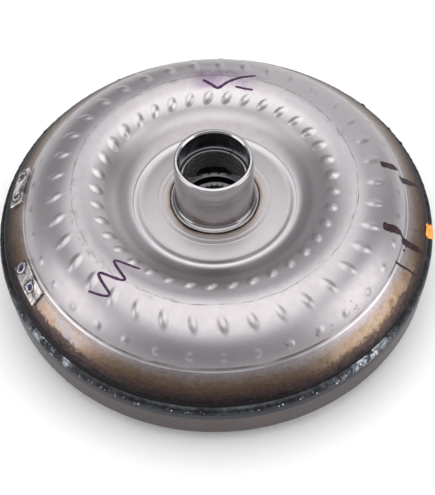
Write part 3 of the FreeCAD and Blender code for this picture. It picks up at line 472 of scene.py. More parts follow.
    # heat tint and turning marks round the hub
    near_hub = n.span(n.plus(radius, n.span(n.noise(70.0), 0.3, 0.7, -1.0, 1.0)), 27.2, 32.5, 1.0, 0.0)
    brown = n.ramp(near_hub, [
        (0.0, (0.405, 0.383, 0.390)),
        (0.45, (0.385, 0.360, 0.360)),
        (0.70, (0.33, 0.28, 0.25)),
        (0.90, (0.19, 0.14, 0.11)),
        (1.0, (0.07, 0.055, 0.05)),
    ])
    steel = n.mix(n.span(radius, 34.0, 37.5, 1.0, 0.0), steel, brown)

    rough = n.span(n.plus(n.times(patches, 0.5), n.times(fine, 0.5)), 0.3, 0.7, 0.34, 0.44)
    rough = n.plus(rough, n.times(n.span(heat, 0.5, 0.9), 0.12))
    scratches = n.noise(1.0, 2.0, 0.8, n.scaled((900.0, 60.0, 200.0)))
    normal = n.bump(grain, 0.05, 0.0002)
    normal = n.bump(fine, 0.06, 0.0002, normal)
    normal = n.bump(n.span(scratches, 0.62, 0.7), 0.03, 0.0001, normal)
    return n.finish(steel, rough, normal)


def turned_steel(name, colour, rough_low, rough_high, tinted=False):
    """Bright turned steel with fine tool marks round the axis."""
    n = Nodes(name)
    radius, height, turn = n.cylinder()
    along_marks = n.around(n.times(radius, 6.0), n.times(height, 6.0), turn, 0.01)
    marks = n.noise(1.0, 4.0, 0.7, along_marks)
    along_bands = n.around(n.times(radius, 0.6), n.times(height, 0.5), turn, 0.015)
    bands = n.noise(1.0, 2.0, 0.5, along_bands)
    light = tuple(min(1.0, c * 1.12) for c in colour)
    base = n.ramp(bands, [(0.3, tuple(c * 0.86 for c in colour)), (0.7, light)])
    base = n.mix(n.span(marks, 0.4, 0.6, 0.0, 0.2), base, tuple(c * 0.7 for c in colour))
    if tinted:
        low = n.span(n.plus(height, n.span(n.noise(60.0), 0.3, 0.7, -0.8, 0.8)), 60.4, 62.0, 1.0, 0.0)
        base = n.mix(n.times(low, 0.45), base, (0.16, 0.12, 0.10))
        # painted shade: the lower wall, the fillet and the foot of the hub are made darker, with weaker
        # tool marks
        foot = n.span(height, 63.5, 66.5, 1.0, 0.0)
        along_shade = n.around(n.times(radius, 0.02), n.times(height, 0.02), turn, 0.0012)
        shade = n.noise(55.0, 3.0, 0.6, along_shade)
        base = n.mix(n.span(shade, 0.35, 0.65, 0.0, 0.45), base, tuple(c * 0.6 for c in colour))
        marks = n.times(marks, n.minus(1.0, n.times(foot, 0.8)))
        base = n.mix(n.times(foot, 0.6), base, (0.17, 0.163, 0.168))
        # painted shade: the inside of the bore is made darker
        bore = n.times(n.span(radius, HUB_BORE + 0.15, HUB_BORE + 0.3, 1.0, 0.0), 0.72)
        base = n.mix(bore, base, (0.15, 0.155, 0.17))
    uneven = n.plus(n.times(marks, 0.6), n.times(bands, 0.4))
    rough = n.span(uneven, 0.35, 0.65, rough_low, rough_high)
    normal = n.bump(marks, 0.09, 0.0001)
    return n.finish(base, rough, normal)


def bush_material():
    """Dark lining with a bright machined lip at its upper end."""
    n = Nodes("bush_lining")
    radius, height, turn = n.cylinder()
    marks = n.noise(1.0, 4.0, 0.7, n.around(radius, n.times(height, 4.0), turn, 0.02))
    dark = n.ramp(marks, [(0.35, (0.46, 0.44, 0.445)), (0.65, (0.66, 0.64, 0.645))])
    end = n.span(height, BUSH_HIGH - 0.3, BUSH_HIGH - 0.2)
    lip = n.times(end, n.span(radius, BUSH_BORE + 0.7, BUSH_BORE + 0.9, 1.0, 0.0))
    colour = n.mix(end, dark, (0.06, 0.06, 0.065))
    colour = n.mix(lip, colour, (0.70, 0.69, 0.70))
    normal = n.bump(marks, 0.12, 0.0001)
    return n.finish(colour, n.span(marks, 0.3, 0.7, 0.2, 0.32), normal)


def weld_material():
    """Dark oxidised weld with bright spatter and two silvery stretches."""
    n = Nodes("weld_bead")
    radius, height, turn = n.cylinder()
    flow = n.noise(160.0, 4.0, 0.65)
    dark = n.ramp(flow, [
        (0.3, (0.016, 0.016, 0.018)),
        (0.55, (0.042, 0.044, 0.049)),
        (0.75, (0.085, 0.090, 0.098)),
    ])
    crest = n.band(height, WELD_TOP - 2.4, 0.5, 1.1)
    sparks = n.times(n.span(n.cells(480.0), 0.16, 0.34, 1.0, 0.0), n.span(n.noise(150.0, 3.0), 0.48, 0.56))
    sparks = n.times(sparks, crest)
    left = n.band(turn, -138.0, 3.0, 9.0)
    right = n.band(turn, -52.0, 3.0, 10.0)
    silver = n.times(n.most(left, right), n.span(n.noise(130.0, 5.0, 0.7), 0.46, 0.58))
    bright = n.most(sparks, silver)
    colour = n.mix(n.times(silver, 0.9), dark, (0.34, 0.365, 0.40))
    colour = n.mix(sparks, colour, (0.64, 0.64, 0.65))
    rough = n.span(bright, 0.0, 1.0, 0.42, 0.22)
    normal = n.bump(flow, 0.35, 0.0004)
    normal = n.bump(n.noise(700.0, 3.0, 0.7), 0.2, 0.0002, normal)
    return n.finish(colour, rough, normal)


def cover_material():
    """Dull drawn steel, grey-brown, blue-black next to the weld."""
    n = Nodes("cover_steel")
    radius, height, turn = n.cylinder()
    patches = n.noise(20.0, 5.0, 0.6)
    fine = n.noise(400.0, 3.0, 0.6)
    drawn = n.noise(1.0, 3.0, 0.6, n.around(radius, n.times(height, 2.5), turn, 0.03))
    dull = n.ramp(patches, [(0.3, (0.092, 0.074, 0.073)), (0.7, (0.145, 0.122, 0.122))])
    dull = n.mix(n.span(drawn, 0.35, 0.65, 0.0, 0.5), dull, (0.075, 0.062, 0.064))
    burnt = n.span(n.plus(height, n.span(patches, 0.3, 0.7, -0.5, 0.5)), 30.8, 32.2)
    burnt = n.times(burnt, n.span(radius, 120.0, 128.0))
    colour = n.mix(burnt, dull, (0.040, 0.043, 0.052))
    # painted highlight: a lighter line along the step under the rim
    rim_step_highlight = n.times(n.band(height, 31.6, 0.15, 0.3), n.span(n.noise(60.0, 3.0), 0.35, 0.6))
    colour = n.mix(n.times(rim_step_highlight, n.span(radius, 134.0, 135.3)), colour, (0.42, 0.41, 0.42))
    mottle = n.plus(n.times(patches, 0.5), n.times(fine, 0.5))
    rough = n.span(mottle, 0.3, 0.7, 0.34, 0.5)
    normal = n.bump(drawn, 0.12, 0.0002)
    normal = n.bump(fine, 0.08, 0.0001, normal)
    return n.finish(colour, rough, normal)


def plate_material(name, spots):
    """Bright sheet of a balance weight, burnt round its spot welds."""
    n = Nodes(name)
    blotch = n.noise(150.0, 4.0, 0.6)
    colour = n.ramp(blotch, [
        (0.40, (0.13, 0.12, 0.125)),
        (0.52, (0.38, 0.355, 0.35)),
        (0.64, (0.62, 0.59, 0.57)),
    ])
    for x, y, z in spots:
        away = n.add("ShaderNodeVectorMath", operation="DISTANCE")
        n.wire(n.place, away.inputs[0])
        away.inputs[1].default_value = (x * MM, y * MM, z * MM)
        far = n.plus(n.times(away.outputs["Value"], 1 / MM), n.span(blotch, 0.3, 0.7, -1.4, 1.4))
        halo = n.band(far, 3.4, 0.5, 1.2)
        colour = n.mix(n.times(halo, 0.85), colour, (0.025, 0.022, 0.035))
        colour = n.mix(n.times(n.band(far, 2.6, 0.3, 0.5), 0.8), colour, (0.60, 0.60, 0.62))
    rough = n.span(blotch, 0.4, 0.65, 0.42, 0.24)
    normal = n.bump(n.noise(500.0, 4.0, 0.7), 0.2, 0.0002)
    return n.finish(colour, rough, normal)


def spot_material():
    """Blue-black spot weld."""
    n = Nodes("spot_weld")
    swirl = n.noise(600.0, 4.0, 0.7)
    colour = n.ramp(swirl, [
        (0.35, (0.015, 0.015, 0.03)),
        (0.6, (0.06, 0.06, 0.11)),
        (0.72, (0.55, 0.55, 0.60)),
    ])
    normal = n.bump(swirl, 0.5, 0.0003)
    return n.finish(colour, n.span(swirl, 0.3, 0.7, 0.2, 0.4), normal)


def ink_material(name, colour):
    """Marker ink or paint, thinner in places."""
    n = Nodes(name)
    wear = n.noise(350.0, 4.0, 0.65)
    lighter = tuple(min(1.0, c * 1.9 + 0.02) for c in colour)
    shade = n.ramp(wear, [(0.4, colour), (0.72, lighter)])
    normal = n.bump(wear, 0.15, 0.0001)
    rough = n.span(wear, 0.3, 0.7, 0.38, 0.55)
    return n.finish(shade, rough, normal, metallic=0.0, Specular_IOR_Level=0.12)


def plain_metal(name, colour, rough, scale=180.0, metallic=1.0):
    """Inner pieces: even metal with a fine mottle."""
    n = Nodes(name)
    mottle = n.noise(scale, 4.0, 0.6)
    light = tuple(min(1.0, c * 1.1) for c in colour)
    base = n.ramp(mottle, [(0.3, tuple(c * 0.82 for c in colour)), (0.7, light)])
    normal = n.bump(n.noise(scale * 3, 3.0, 0.6), 0.12, 0.0001)
    return n.finish(base, n.span(mottle, 0.3, 0.7, rough * 0.85, rough * 1.2), normal, metallic=metallic)


shell_steel = shell_material()
hub_steel = turned_steel("hub_steel", (0.47, 0.452, 0.462), 0.14, 0.25, tinted=True)
bush_steel = bush_material()
machined_steel = turned_steel("machined_steel", (0.55, 0.54, 0.54), 0.18, 0.30)
weld_steel = weld_material()
cover_steel = cover_material()
spot_steel = spot_material()
ink = ink_material("marker_ink", (0.042, 0.014, 0.050))
ink_dark = ink_material("marker_ink_dark", (0.022, 0.010, 0.013))
orange_paint = ink_material("orange_paint", (0.80, 0.26, 0.05))

SLOT_MATERIALS = {
    "shell_steel": shell_steel,
    "cover_steel": cover_steel,
    "machined_steel": machined_steel,
    "weld_bead": weld_steel,
    "bush_bronze": bush_steel,
    "blade_steel": plain_metal("blade_steel", (0.50, 0.49, 0.48), 0.34),
    "cast_aluminium": plain_metal("cast_aluminium", (0.66, 0.66, 0.67), 0.42, 420.0),
    "bearing_steel": plain_metal("bearing_steel", (0.62, 0.62, 0.63), 0.16),
    "friction_paper": plain_metal("friction_paper", (0.22, 0.15, 0.09), 0.8, 900.0, 0.0),
    "seal_polymer": plain_metal("seal_polymer", (0.03, 0.03, 0.03), 0.5, 300.0, 0.0),
    "spring_steel": plain_metal("spring_steel", (0.22, 0.23, 0.26), 0.32),
}
for part in frame["record"]["subparts"]:
    thing = frame["nodes"][part["node"]]
    thing.data.materials.clear()
    thing.data.materials.append(SLOT_MATERIALS[part["material_slot"]])


# ---- Impeller shell ----


def blend_angle_at(radius):
    """Angle on the concave blend where it is at a radius."""
    return -math.degrees(math.acos((radius - BLEND_CENTRE[0]) / BLEND_BEND))


def ridge(r, centre, height, half):
    """Smooth ring-shaped ridge or groove."""
    return height * np.exp(-((r - centre) / half) ** 2)


def dish_detail(r):
    """Crowned seat round the hub, its fine turned steps and the bead of the dish, over the plain face."""
    rise = ridge(r, 49.4, 0.95, 2.5)
    crown = 1.0 * (1 - ((np.clip(r, 29.5, 46.5) - 29.5) / 17.0) ** 2)
    rise += crown * np.clip((r - 27.3) / 0.35, 0, 1)
    rise += ridge(r, 34.6, 0.09, 0.35)
    rise += ridge(r, 32.6, -0.06, 0.4)
    rise += ridge(r, 31.2, 0.05, 0.3)
    return rise


# rings of raised bumps over the blades: radius, first angle, lean from the radial direction, half
# length, half width, height
BUMPS = [
    (71.6, 4.1, -33.0, 4.8, 3.0, 1.0),
    (97.6, 8.5, 17.0, 6.2, 3.0, 0.82),
    (113.2, 8.3, 0.0, 3.0, 2.8, 0.42),
]


def bump_rise(r, turn):
    """Height of the bumps at a radius (array) and a turn (array), as a table turn by radius."""
    pitch = 360.0 / BLADES
    total = np.zeros((len(turn), len(r)))
    degrees = np.degrees(turn)
    for centre, first, lean, half_length, half_width, height in BUMPS:
        number = np.round((degrees - first) / pitch)
        away = np.radians(degrees - first - number * pitch)
        # every bump is a little different, the same each run
        jitter = np.sin(number * 12.9898 + centre) * 0.5 + np.sin(number * 4.1414 + centre * 3) * 0.5
        across = away[:, None] * r[None, :]
        along = (r - centre)[None, :] * (1.6 if centre > 110 else 1.08)
        tilt = math.radians(lean)
        u = (along * math.cos(tilt) + across * math.sin(tilt)) / half_length
        v = (across * math.cos(tilt) - along * math.sin(tilt)) / (half_width * (1 + 0.12 * jitter[:, None]))
        far = np.sqrt(u ** 2 + v ** 2)
        cap = np.clip(1.15 - far, 0, 1)
        total += height * (1 + 0.18 * jitter[:, None]) * cap ** 2 * (3 - 2 * cap)
    return total


def shell_outside(fine, coarse):
    """Outer face of the shell from the hub hole to the lower edge of the skirt."""
    dish_end = blend_angle_at(DISH_R)
    return joined(
        line((SPIGOT_R, DISH_Z), (27.0, DISH_Z), coarse),
        line((27.0, DISH_Z), (29.0, DISH_Z), 0.1),
        line((29.0, DISH_Z), (DISH_R, DISH_Z), 0.3),
        arc(BLEND_CENTRE, BLEND_BEND, dish_end, blend_angle_at(57.0), 0.35),
        arc(BLEND_CENTRE, BLEND_BEND, blend_angle_at(57.0), BLEND_ANGLE - 180, coarse),
        arc((TORUS_R, TORUS_Z), SECTION, BLEND_ANGLE, 108.0, fine),
        arc((TORUS_R, TORUS_Z), SECTION, 108.0, 90.0 - OUTER_SLOPE, coarse),
        arc(OUTER_CENTRE, OUTER_BEND, 90.0 - OUTER_SLOPE, 61.0, fine),
        arc(OUTER_CENTRE, OUTER_BEND, 61.0, 45.0, coarse),
        arc(OUTER_CENTRE, OUTER_BEND, 45.0, 90.0 - FOLD_SLOPE, fine),
        arc(FOLD_CENTRE, FOLD_BEND, -90.0 - FOLD_SLOPE, -90.0 - SHOULDER_SLOPE, 0.25),
        line(CONE_START, CONE_END, 0.5),
        arc(BEND_CENTRE, SHOULDER_BEND, 90.0 - SHOULDER_SLOPE, 0.0, 0.5),
        line((SKIRT_R, BEND_Z), (SKIRT_R, SKIRT_LOW), 2.0),
    )


def shell_inside():
    """Inner face of the shell, from the skirt back to the hub hole."""
    inner = SKIRT_R - WALL
    dish_end = blend_angle_at(DISH_R)
    cone_start = slope_point(FOLD_CENTRE, -FOLD_BEND - WALL, SHOULDER_SLOPE)
    cone_end = slope_point(BEND_CENTRE, SHOULDER_BEND - WALL, SHOULDER_SLOPE)
    return joined(
        line((inner, SKIRT_LOW), (inner, BEND_Z), 4.0),
        line(cone_end, cone_start, 4.0),
        arc(FOLD_CENTRE, FOLD_BEND + WALL, -90.0 - SHOULDER_SLOPE, -90.0 - FOLD_SLOPE, 2.0),
        arc(OUTER_CENTRE, OUTER_BEND - WALL, 90.0 - FOLD_SLOPE, 90.0 - OUTER_SLOPE, 3.0),
        arc((TORUS_R, TORUS_Z), SECTION - WALL, 90.0 - OUTER_SLOPE, BLEND_ANGLE, 3.0),
        arc(BLEND_CENTRE, BLEND_BEND + WALL, BLEND_ANGLE - 180, dish_end, 3.0),
        line((DISH_R - WALL, DISH_Z - WALL), (SPIGOT_R, DISH_Z - WALL), 6.0),
    )


outside = shell_outside(0.5, 1.6)
OUTSIDE_COUNT = len(outside)
FOLD_INDEX = int(np.argmax(outside[:, 0] > FOLD_R + 0.5))


def waviness(profile, turns):
    """Slow unevenness of pressed sheet, in millimetres."""
    table = np.zeros((len(turns), len(profile)))
    columns = range(0, len(profile), 6)
    sampled = np.zeros((len(turns), len(columns)))
    for row, turn in enumerate(turns):
        c, s = math.cos(turn), math.sin(turn)
        for column, index in enumerate(columns):
            r, z = profile[index]
            spot = Vector((r * c, r * s, z)) / 26.0
            sampled[row, column] = noise.noise(spot) + 0.4 * noise.noise(spot * 2.7)
    for row in range(len(turns)):
        table[row] = np.interp(np.arange(len(profile)), list(columns), sampled[row])
    return table * 0.05


def shell_lift(profile, turns):
    """Bumps, dish detail and waviness on the outer face only."""
    rise = np.zeros((len(turns), len(profile)))
    top = profile[:FOLD_INDEX]
    rise[:, :FOLD_INDEX] = bump_rise(top[:, 0], turns) + dish_detail(top[:, 0])[None, :]
    rise[:, :OUTSIDE_COUNT] += waviness(profile[:OUTSIDE_COUNT], turns)
    rise[:, :2] = 0
    rise[:, OUTSIDE_COUNT - 6:] = 0
    return rise


shell_profile = joined(outside, shell_inside())
shell_skin = turned(
    "shell_skin", shell_profile, SHELL_SEGMENTS, shell_steel, shell_lift, angle=50)
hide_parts("impeller_shell")


# ---- Pump hub ----


def hub_profile():
    """Section of the hub: bore, rounded rim, running surface, flared fillet, rolled foot, spigot."""
    rim_in = HUB_BORE + 0.9
    rim_out = HUB_R - 1.3
    return joined(
        line((HUB_BORE, HUB_END), (HUB_BORE, HUB_TOP - 1.3), 3.0),
        arc((HUB_BORE + 0.35, HUB_TOP - 1.3), 0.35, 180.0, 140.0, 0.1),
        line((HUB_BORE + 0.2, HUB_TOP - 0.95), (rim_in, HUB_TOP - 0.12), 0.3),
        arc((rim_in + 0.2, HUB_TOP - 0.3), 0.3, 130.0, 90.0, 0.1),
        line((rim_in + 0.3, HUB_TOP), (rim_out, HUB_TOP - 0.05), 0.2),
        arc((rim_out, HUB_TOP - 1.35), 1.3, 88.0, 0.0, 0.15),
        line((HUB_R, HUB_TOP - 1.6), (HUB_R, DISH_Z + 6.0), 1.5),
        arc((HUB_R + 3.0, DISH_Z + 5.4), 3.0, 180.0, 250.0, 0.25),
        arc((FOOT_R - 0.95, DISH_Z + 1.45), 0.95, 105.0, 0.0, 0.15),
        line((FOOT_R, DISH_Z + 1.4), (FOOT_R, DISH_Z), 0.6),
        line((FOOT_R, DISH_Z), (SPIGOT_R, DISH_Z), 1.0),
        line((SPIGOT_R, DISH_Z), (SPIGOT_R, HUB_END), 2.0),
    )


# the profile runs up the bore and down the outside, so its normals point outwards
hub = turned("pump_hub_turned", hub_profile(), HUB_SEGMENTS, hub_steel, angle=28)
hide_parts("impeller_hub")


# ---- Closure weld ----

WELD_CROWN = 1.1
WELD_SEGMENTS = 1500

# lumps on the bead: turn in degrees, place between toe and rim, half width, height
SPATTER = [
    (41.0, 0.45, 1.6, 0.8),
    (30.0, 0.5, 1.2, 0.6),
    (24.0, 0.4, 1.4, 0.7),
    (5.0, 0.3, 1.1, 0.5),
    (343.3, 0.35, 1.2, 0.5),
    (218.0, 0.4, 1.8, 0.5),
    (213.5, 0.6, 1.4, 0.45),
    (308.0, 0.45, 1.6, 0.5),
    (146.0, 0.4, 1.3, 0.55),
    (118.0, 0.5, 1.2, 0.5),
]


def weld_face():
    """Outer face of the bead, from its toe on the skirt to the rim of the cover."""
    toe = np.array((SKIRT_R, WELD_TOP))
    way = np.array((RIM_R - 0.1, RIM_HIGH - 0.1)) - toe
    out = np.array((-way[1], way[0])) / np.linalg.norm(way)
    return [tuple(toe + way * t + out * WELD_CROWN * 4 * t * (1 - t)) for t in np.linspace(0, 1, 19)]


def weld_profile():
    """Closed section of the bead between the skirt and the rim of the cover."""
    return joined(weld_face(), [(SKIRT_R + 0.05, RIM_HIGH - 0.3)])


def weld_lift(profile, turns):
    """Ripples and lumps of a weld bead, with a few beads of spatter."""
    rise = np.zeros((len(turns), len(profile)))
    seam = np.linspace(0, 1, len(profile) - 1)
    for row, turn in enumerate(turns):
        c, s = math.cos(turn), math.sin(turn)
        slow = noise.noise(Vector((c * 9, s * 9, 3.1)))
        for column, along in enumerate(seam):
            spot = Vector((c * 60, s * 60, along * 2.2))
            lump = noise.noise(spot) * 0.20 + noise.noise(spot * 2.3) * 0.13
            lump += noise.noise(spot * 5.0) * 0.06
            ripple = 0.07 * math.sin(turn * 410 + 2.2 * slow + along * 2.0)
            rise[row, column] = (lump + ripple + 0.10 * slow) * math.sin(math.pi * along)
    for place, at, size, height in SPATTER:
        away = (np.degrees(turns) - place + 180) % 360 - 180
        across = np.radians(away)[:, None] * SKIRT_R / size
        along = (seam - at)[None, :] * 5.3 / size
        rise[:, :-1] += height * np.exp(-(across ** 2 + along ** 2))
    return rise


bead = turned("closure_bead", weld_profile(), WELD_SEGMENTS, weld_steel, weld_lift, angle=60)
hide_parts("closure_weld")


# ---- Pieces that lie on the shell ----

# The way over the outer face, the bead and the rim. Its measure is the radius up to the end of the
# conical shoulder and goes on with the length along the section after that.
cone_count = int(np.argmax(outside[:, 0] > CONE_END[0] - 1e-6)) + 1
above_toe = [point for point in outside[cone_count:OUTSIDE_COUNT - 6] if point[1] > WELD_TOP + 0.1]
rim_down = line((RIM_R, RIM_HIGH - 0.4), (RIM_R, RIM_HIGH - 5.4), 1.0)
way_over = joined(outside[:cone_count], above_toe, weld_face(), rim_down)
way_normals = normals_of(way_over, False)
way_steps = np.linalg.norm(np.diff(way_over, axis=0), axis=1)
measure = way_over[:, 0].copy()
measure[cone_count:] = way_over[cone_count - 1, 0] + np.cumsum(way_steps[cone_count - 1:])


def on_shell(at, turn, lift):
    """Point over the outer face at a measure along its section, in millimetres."""
    r = np.interp(at, measure, way_over[:, 0])
    z = np.interp(at, measure, way_over[:, 1])
    nr = np.interp(at, measure, way_normals[:, 0])
    nz = np.interp(at, measure, way_normals[:, 1])
    rise = lift
    if r < FOLD_R:
        rise += float(bump_rise(np.array([r]), np.array([turn]))[0, 0] + dish_detail(np.array([r]))[0])
    return Vector(((r + nr * rise) * math.cos(turn), (r + nr * rise) * math.sin(turn), z + nz * rise))


STROKE_STEPS = 14


def stroke(name, route, width, material, lift=0.10, ends=(0.7, 0.7)):
    """Pen stroke on the shell along (radius, degrees) points, smoothed, with uneven width."""
    samples = []
    control = [Vector((r, math.radians(t), 0)) for r, t in route]
    control = [control[0]] + control + [control[-1]]
    for index in range(1, len(control) - 2):
        p0, p1, p2, p3 = control[index - 1:index + 3]
        for step in range(STROKE_STEPS):
            t = step / STROKE_STEPS
            samples.append(0.5 * ((2 * p1) + (p2 - p0) * t + (2 * p0 - 5 * p1 + 4 * p2 - p3) * t * t
                                  + (3 * p1 - p0 - 3 * p2 + p3) * t ** 3))
    samples.append(control[-2])
    count = len(samples)
    verts = []
    for index, sample in enumerate(samples):
        before = samples[max(0, index - 1)]
        after = samples[min(count - 1, index + 1)]
        way = Vector((after.x - before.x, (after.y - before.y) * sample.x))
        side = Vector((-way.y, way.x)).normalized()
        at = index / (count - 1)
        swell = min(1.0, ends[0] + 6.0 * at) * (1 - (1 - ends[1]) * max(0.0, 2.2 * at - 1.2) ** 1.5)
        swell += 0.18 * noise.noise(Vector((sample.x, sample.y * 40, at * 5)))
        half = width / 2 * swell
        for place in (-1.0, -0.5, 0.0, 0.5, 1.0):
            r = sample.x + side.x * half * place
            turn = sample.y + side.y * half * place / sample.x
            verts.append(on_shell(r, turn, lift * (1.0 - 0.75 * place ** 4)))
    faces = []
    for index in range(count - 1):
        for column in range(4):
            a = index * 5 + column
            faces.append((a, a + 1, a + 6, a + 5))
    make_piece(name, verts, faces, material, angle=80)


# inspection tick at the back, and a loose zigzag at the front left
TICK = [(83.0, 93.5), (79.5, 90.0), (77.0, 86.5), (81.5, 82.0), (86.5, 76.0), (89.5, 71.0)]
ZIGZAG = [(74.0, 233.0), (80.0, 222.5), (86.0, 232.0), (92.0, 222.5), (98.0, 231.0), (103.0, 224.0)]
stroke("ink_tick", TICK, 1.9, ink)
stroke("ink_dash", [(78.5, 78.5), (78.0, 74.0), (78.3, 70.0)], 1.4, ink)
stroke("ink_zigzag", ZIGZAG, 1.7, ink)

# radial alignment dashes on the right
DASHES = [
    ("ink_dash_1", [(104.0, 341.9), (107.5, 342.3), (111.0, 343.4), (114.2, 343.9), (116.4, 343.4)],
     4.9, (0.6, 0.2)),
    ("ink_dash_2", [(116.2, 342.8), (120.0, 343.0), (125.0, 343.6), (130.8, 344.1)], 4.7, (0.55, 0.45)),
    ("ink_dash_3", [(103.2, 7.3), (106.5, 7.5), (110.0, 7.8), (113.5, 8.4), (115.9, 8.8)],
     4.5, (0.7, 0.35)),
    ("ink_dash_4", [(115.4, 5.0), (119.0, 5.5), (124.0, 6.0), (129.6, 6.4)], 4.5, (0.6, 0.35)),
    ("ink_dash_5", [(116.8, 334.8), (121.0, 335.3), (125.0, 335.9), (130.0, 336.3)], 1.6, (0.8, 0.5)),
    ("ink_dot_1", [(118.4, 340.2), (119.0, 340.2), (119.8, 340.3)], 1.3, (0.8, 0.8)),
    ("ink_dot_2", [(116.8, 14.3), (117.6, 14.3)], 1.4, (0.8, 0.8)),
]
for name, route, width, ends in DASHES:
    stroke(name, route, width, ink_dark, ends=ends)

# orange paint that ran down over the bead and the rim
DAUB = [(130.8, 352.2), (133.0, 352.2), (136.0, 352.6), (139.0, 353.0), (142.5, 353.3)]
stroke("orange_daub", DAUB, 10.5, orange_paint, lift=0.34, ends=(0.6, 0.6))


# ---- Balance weights ----

PLATE = 1.8
PLATE_INNER = 119.4
PLATE_OUTER = 127.4
PLATE_SPAN = 13.2
PLATE_CORNER = 1.2
PLATE_COLUMNS, PLATE_ROWS = 96, 36
NUGGET_SIDES, NUGGET_RINGS = 32, 8


def plate_height(u, v, half_u, half_v, spots):
    """Height of the plate over the shoulder: eased edges, sunk spot welds with a raised lip."""
    edge = min(half_u - abs(u), half_v - abs(v))
    height = PLATE - 0.5 * max(0.0, 1 - edge / 0.6) ** 2
    for spot_u, spot_v, size in spots:
        far = math.hypot(u - spot_u, v - spot_v) / size
        height += -0.75 * math.exp(-(far * 1.5) ** 4) + 0.30 * math.exp(-((far - 0.95) * 5.0) ** 2)
    return height + 0.07 * noise.noise(Vector((u, v, half_u)) * 0.45)


def spot_weld(name, place, seed, spot_u, spot_v, size):
    """Low domed nugget on a plate, its edge sunk into the metal round it."""
    verts, faces = [place(spot_u, spot_v, PLATE - 0.25)], []
    for ring in range(1, NUGGET_RINGS + 1):
        reach = ring / NUGGET_RINGS
        for step in range(NUGGET_SIDES):
            turn = 2 * math.pi * step / NUGGET_SIDES
            wobble = 1 + 0.10 * noise.noise(Vector((math.cos(turn) * 2, math.sin(turn) * 2, seed)))
            u = spot_u + size * 0.92 * reach * wobble * math.cos(turn)
            v = spot_v + size * 0.92 * reach * wobble * math.sin(turn)
            dome = PLATE - 0.25 + 0.40 * reach ** 2 * (1.7 - reach)
            dome += 0.10 * noise.noise(Vector((u, v, 0)) * 1.4)
            verts.append(place(u, v, dome if ring < NUGGET_RINGS else PLATE - 0.35))
    for step in range(NUGGET_SIDES):
        faces.append((0, 1 + step, 1 + (step + 1) % NUGGET_SIDES))
    for ring in range(NUGGET_RINGS - 1):
        for step in range(NUGGET_SIDES):
            a = 1 + ring * NUGGET_SIDES + step
            b = 1 + ring * NUGGET_SIDES + (step + 1) % NUGGET_SIDES
            faces.append((a, a + NUGGET_SIDES, b + NUGGET_SIDES, b))
    make_piece(name, verts, faces, spot_steel, angle=60)


def balance_weight(name, node, centre, skew, spots):
    """Sheet plate lying on the conical shoulder, held by two spot welds."""
    middle = (PLATE_INNER + PLATE_OUTER) / 2
    slope = math.cos(math.radians(SHOULDER_SLOPE))
    half_u = math.radians(PLATE_SPAN) / 2 * middle
    half_v = (PLATE_OUTER - PLATE_INNER) / 2 / slope
    columns, rows = PLATE_COLUMNS, PLATE_ROWS

    def place(u, v, height):
        """Point over the shell from a place on the plate."""
        at = middle + (v + skew * u) * slope
        return on_shell(at, math.radians(centre) + u / middle, height)

    def grid_point(column, row):
        """Place on the plate, with its corners rounded."""
        u = (2 * column / columns - 1) * half_u
        v = (2 * row / rows - 1) * half_v
        corner_u, corner_v = abs(u) - (half_u - PLATE_CORNER), abs(v) - (half_v - PLATE_CORNER)
        if corner_u > 0 and corner_v > 0:
            pull = max(corner_u, corner_v) / math.hypot(corner_u, corner_v)
            u = math.copysign(half_u - PLATE_CORNER + corner_u * pull, u)
            v = math.copysign(half_v - PLATE_CORNER + corner_v * pull, v)
        return u, v

    verts, faces = [], []
    for row in range(rows + 1):
        for column in range(columns + 1):
            u, v = grid_point(column, row)
            verts.append(place(u, v, plate_height(u, v, half_u, half_v, spots)))
    wide = columns + 1
    for row in range(rows):
        for column in range(columns):
            a = row * wide + column
            faces.append((a, a + wide, a + wide + 1, a + 1))
    # side walls down to just inside the shell
    ring = list(range(columns))
    ring += [row * wide + columns for row in range(rows)]
    ring += [rows * wide + column for column in range(columns, 0, -1)]
    ring += [row * wide for row in range(rows, 0, -1)]
    base = len(verts)
    for index in ring:
        verts.append(place(*grid_point(index % wide, index // wide), -0.2))
    for k in range(len(ring)):
        m = (k + 1) % len(ring)
        faces.append((ring[k], ring[m], base + m, base + k))
    faces.append(tuple(base + k for k in range(len(ring))))
    centres = [tuple(place(spot_u, spot_v, PLATE)) for spot_u, spot_v, size in spots]
    steel = plate_material(f"{name}_steel", centres)
    plate = make_piece(name, verts, faces, steel, angle=35)
    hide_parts(node)
    for index, spot in enumerate(spots):
        spot_weld(f"{name}_spot_{index + 1}", place, centre + index, *spot)


balance_weight("weight_plate_a", "balance_weight_a", 170.8, 0.0, [(-8.0, 0.3, 2.6), (7.6, 0.0, 2.5)])
balance_weight("weight_plate_b", "balance_weight_b", 204.4, 0.02, [(-10.6, 0.2, 2.5), (4.4, -0.2, 2.6)])


# ---- Damper springs ----

SPRINGS = 8
SPRING_AXIS_R = 114.87
SPRING_HALF = 26.8
SPRING_COIL = 4.0
SPRING_WIRE = 1.1
SPRING_TURNS = 8
SPRING_STEPS, SPRING_WIRE_SIDES = 24, 10
# at full twist a coil keeps to the part of its window that both limits leave free
SPRING_Z = sum(node_heights("damper_springs")) / 2


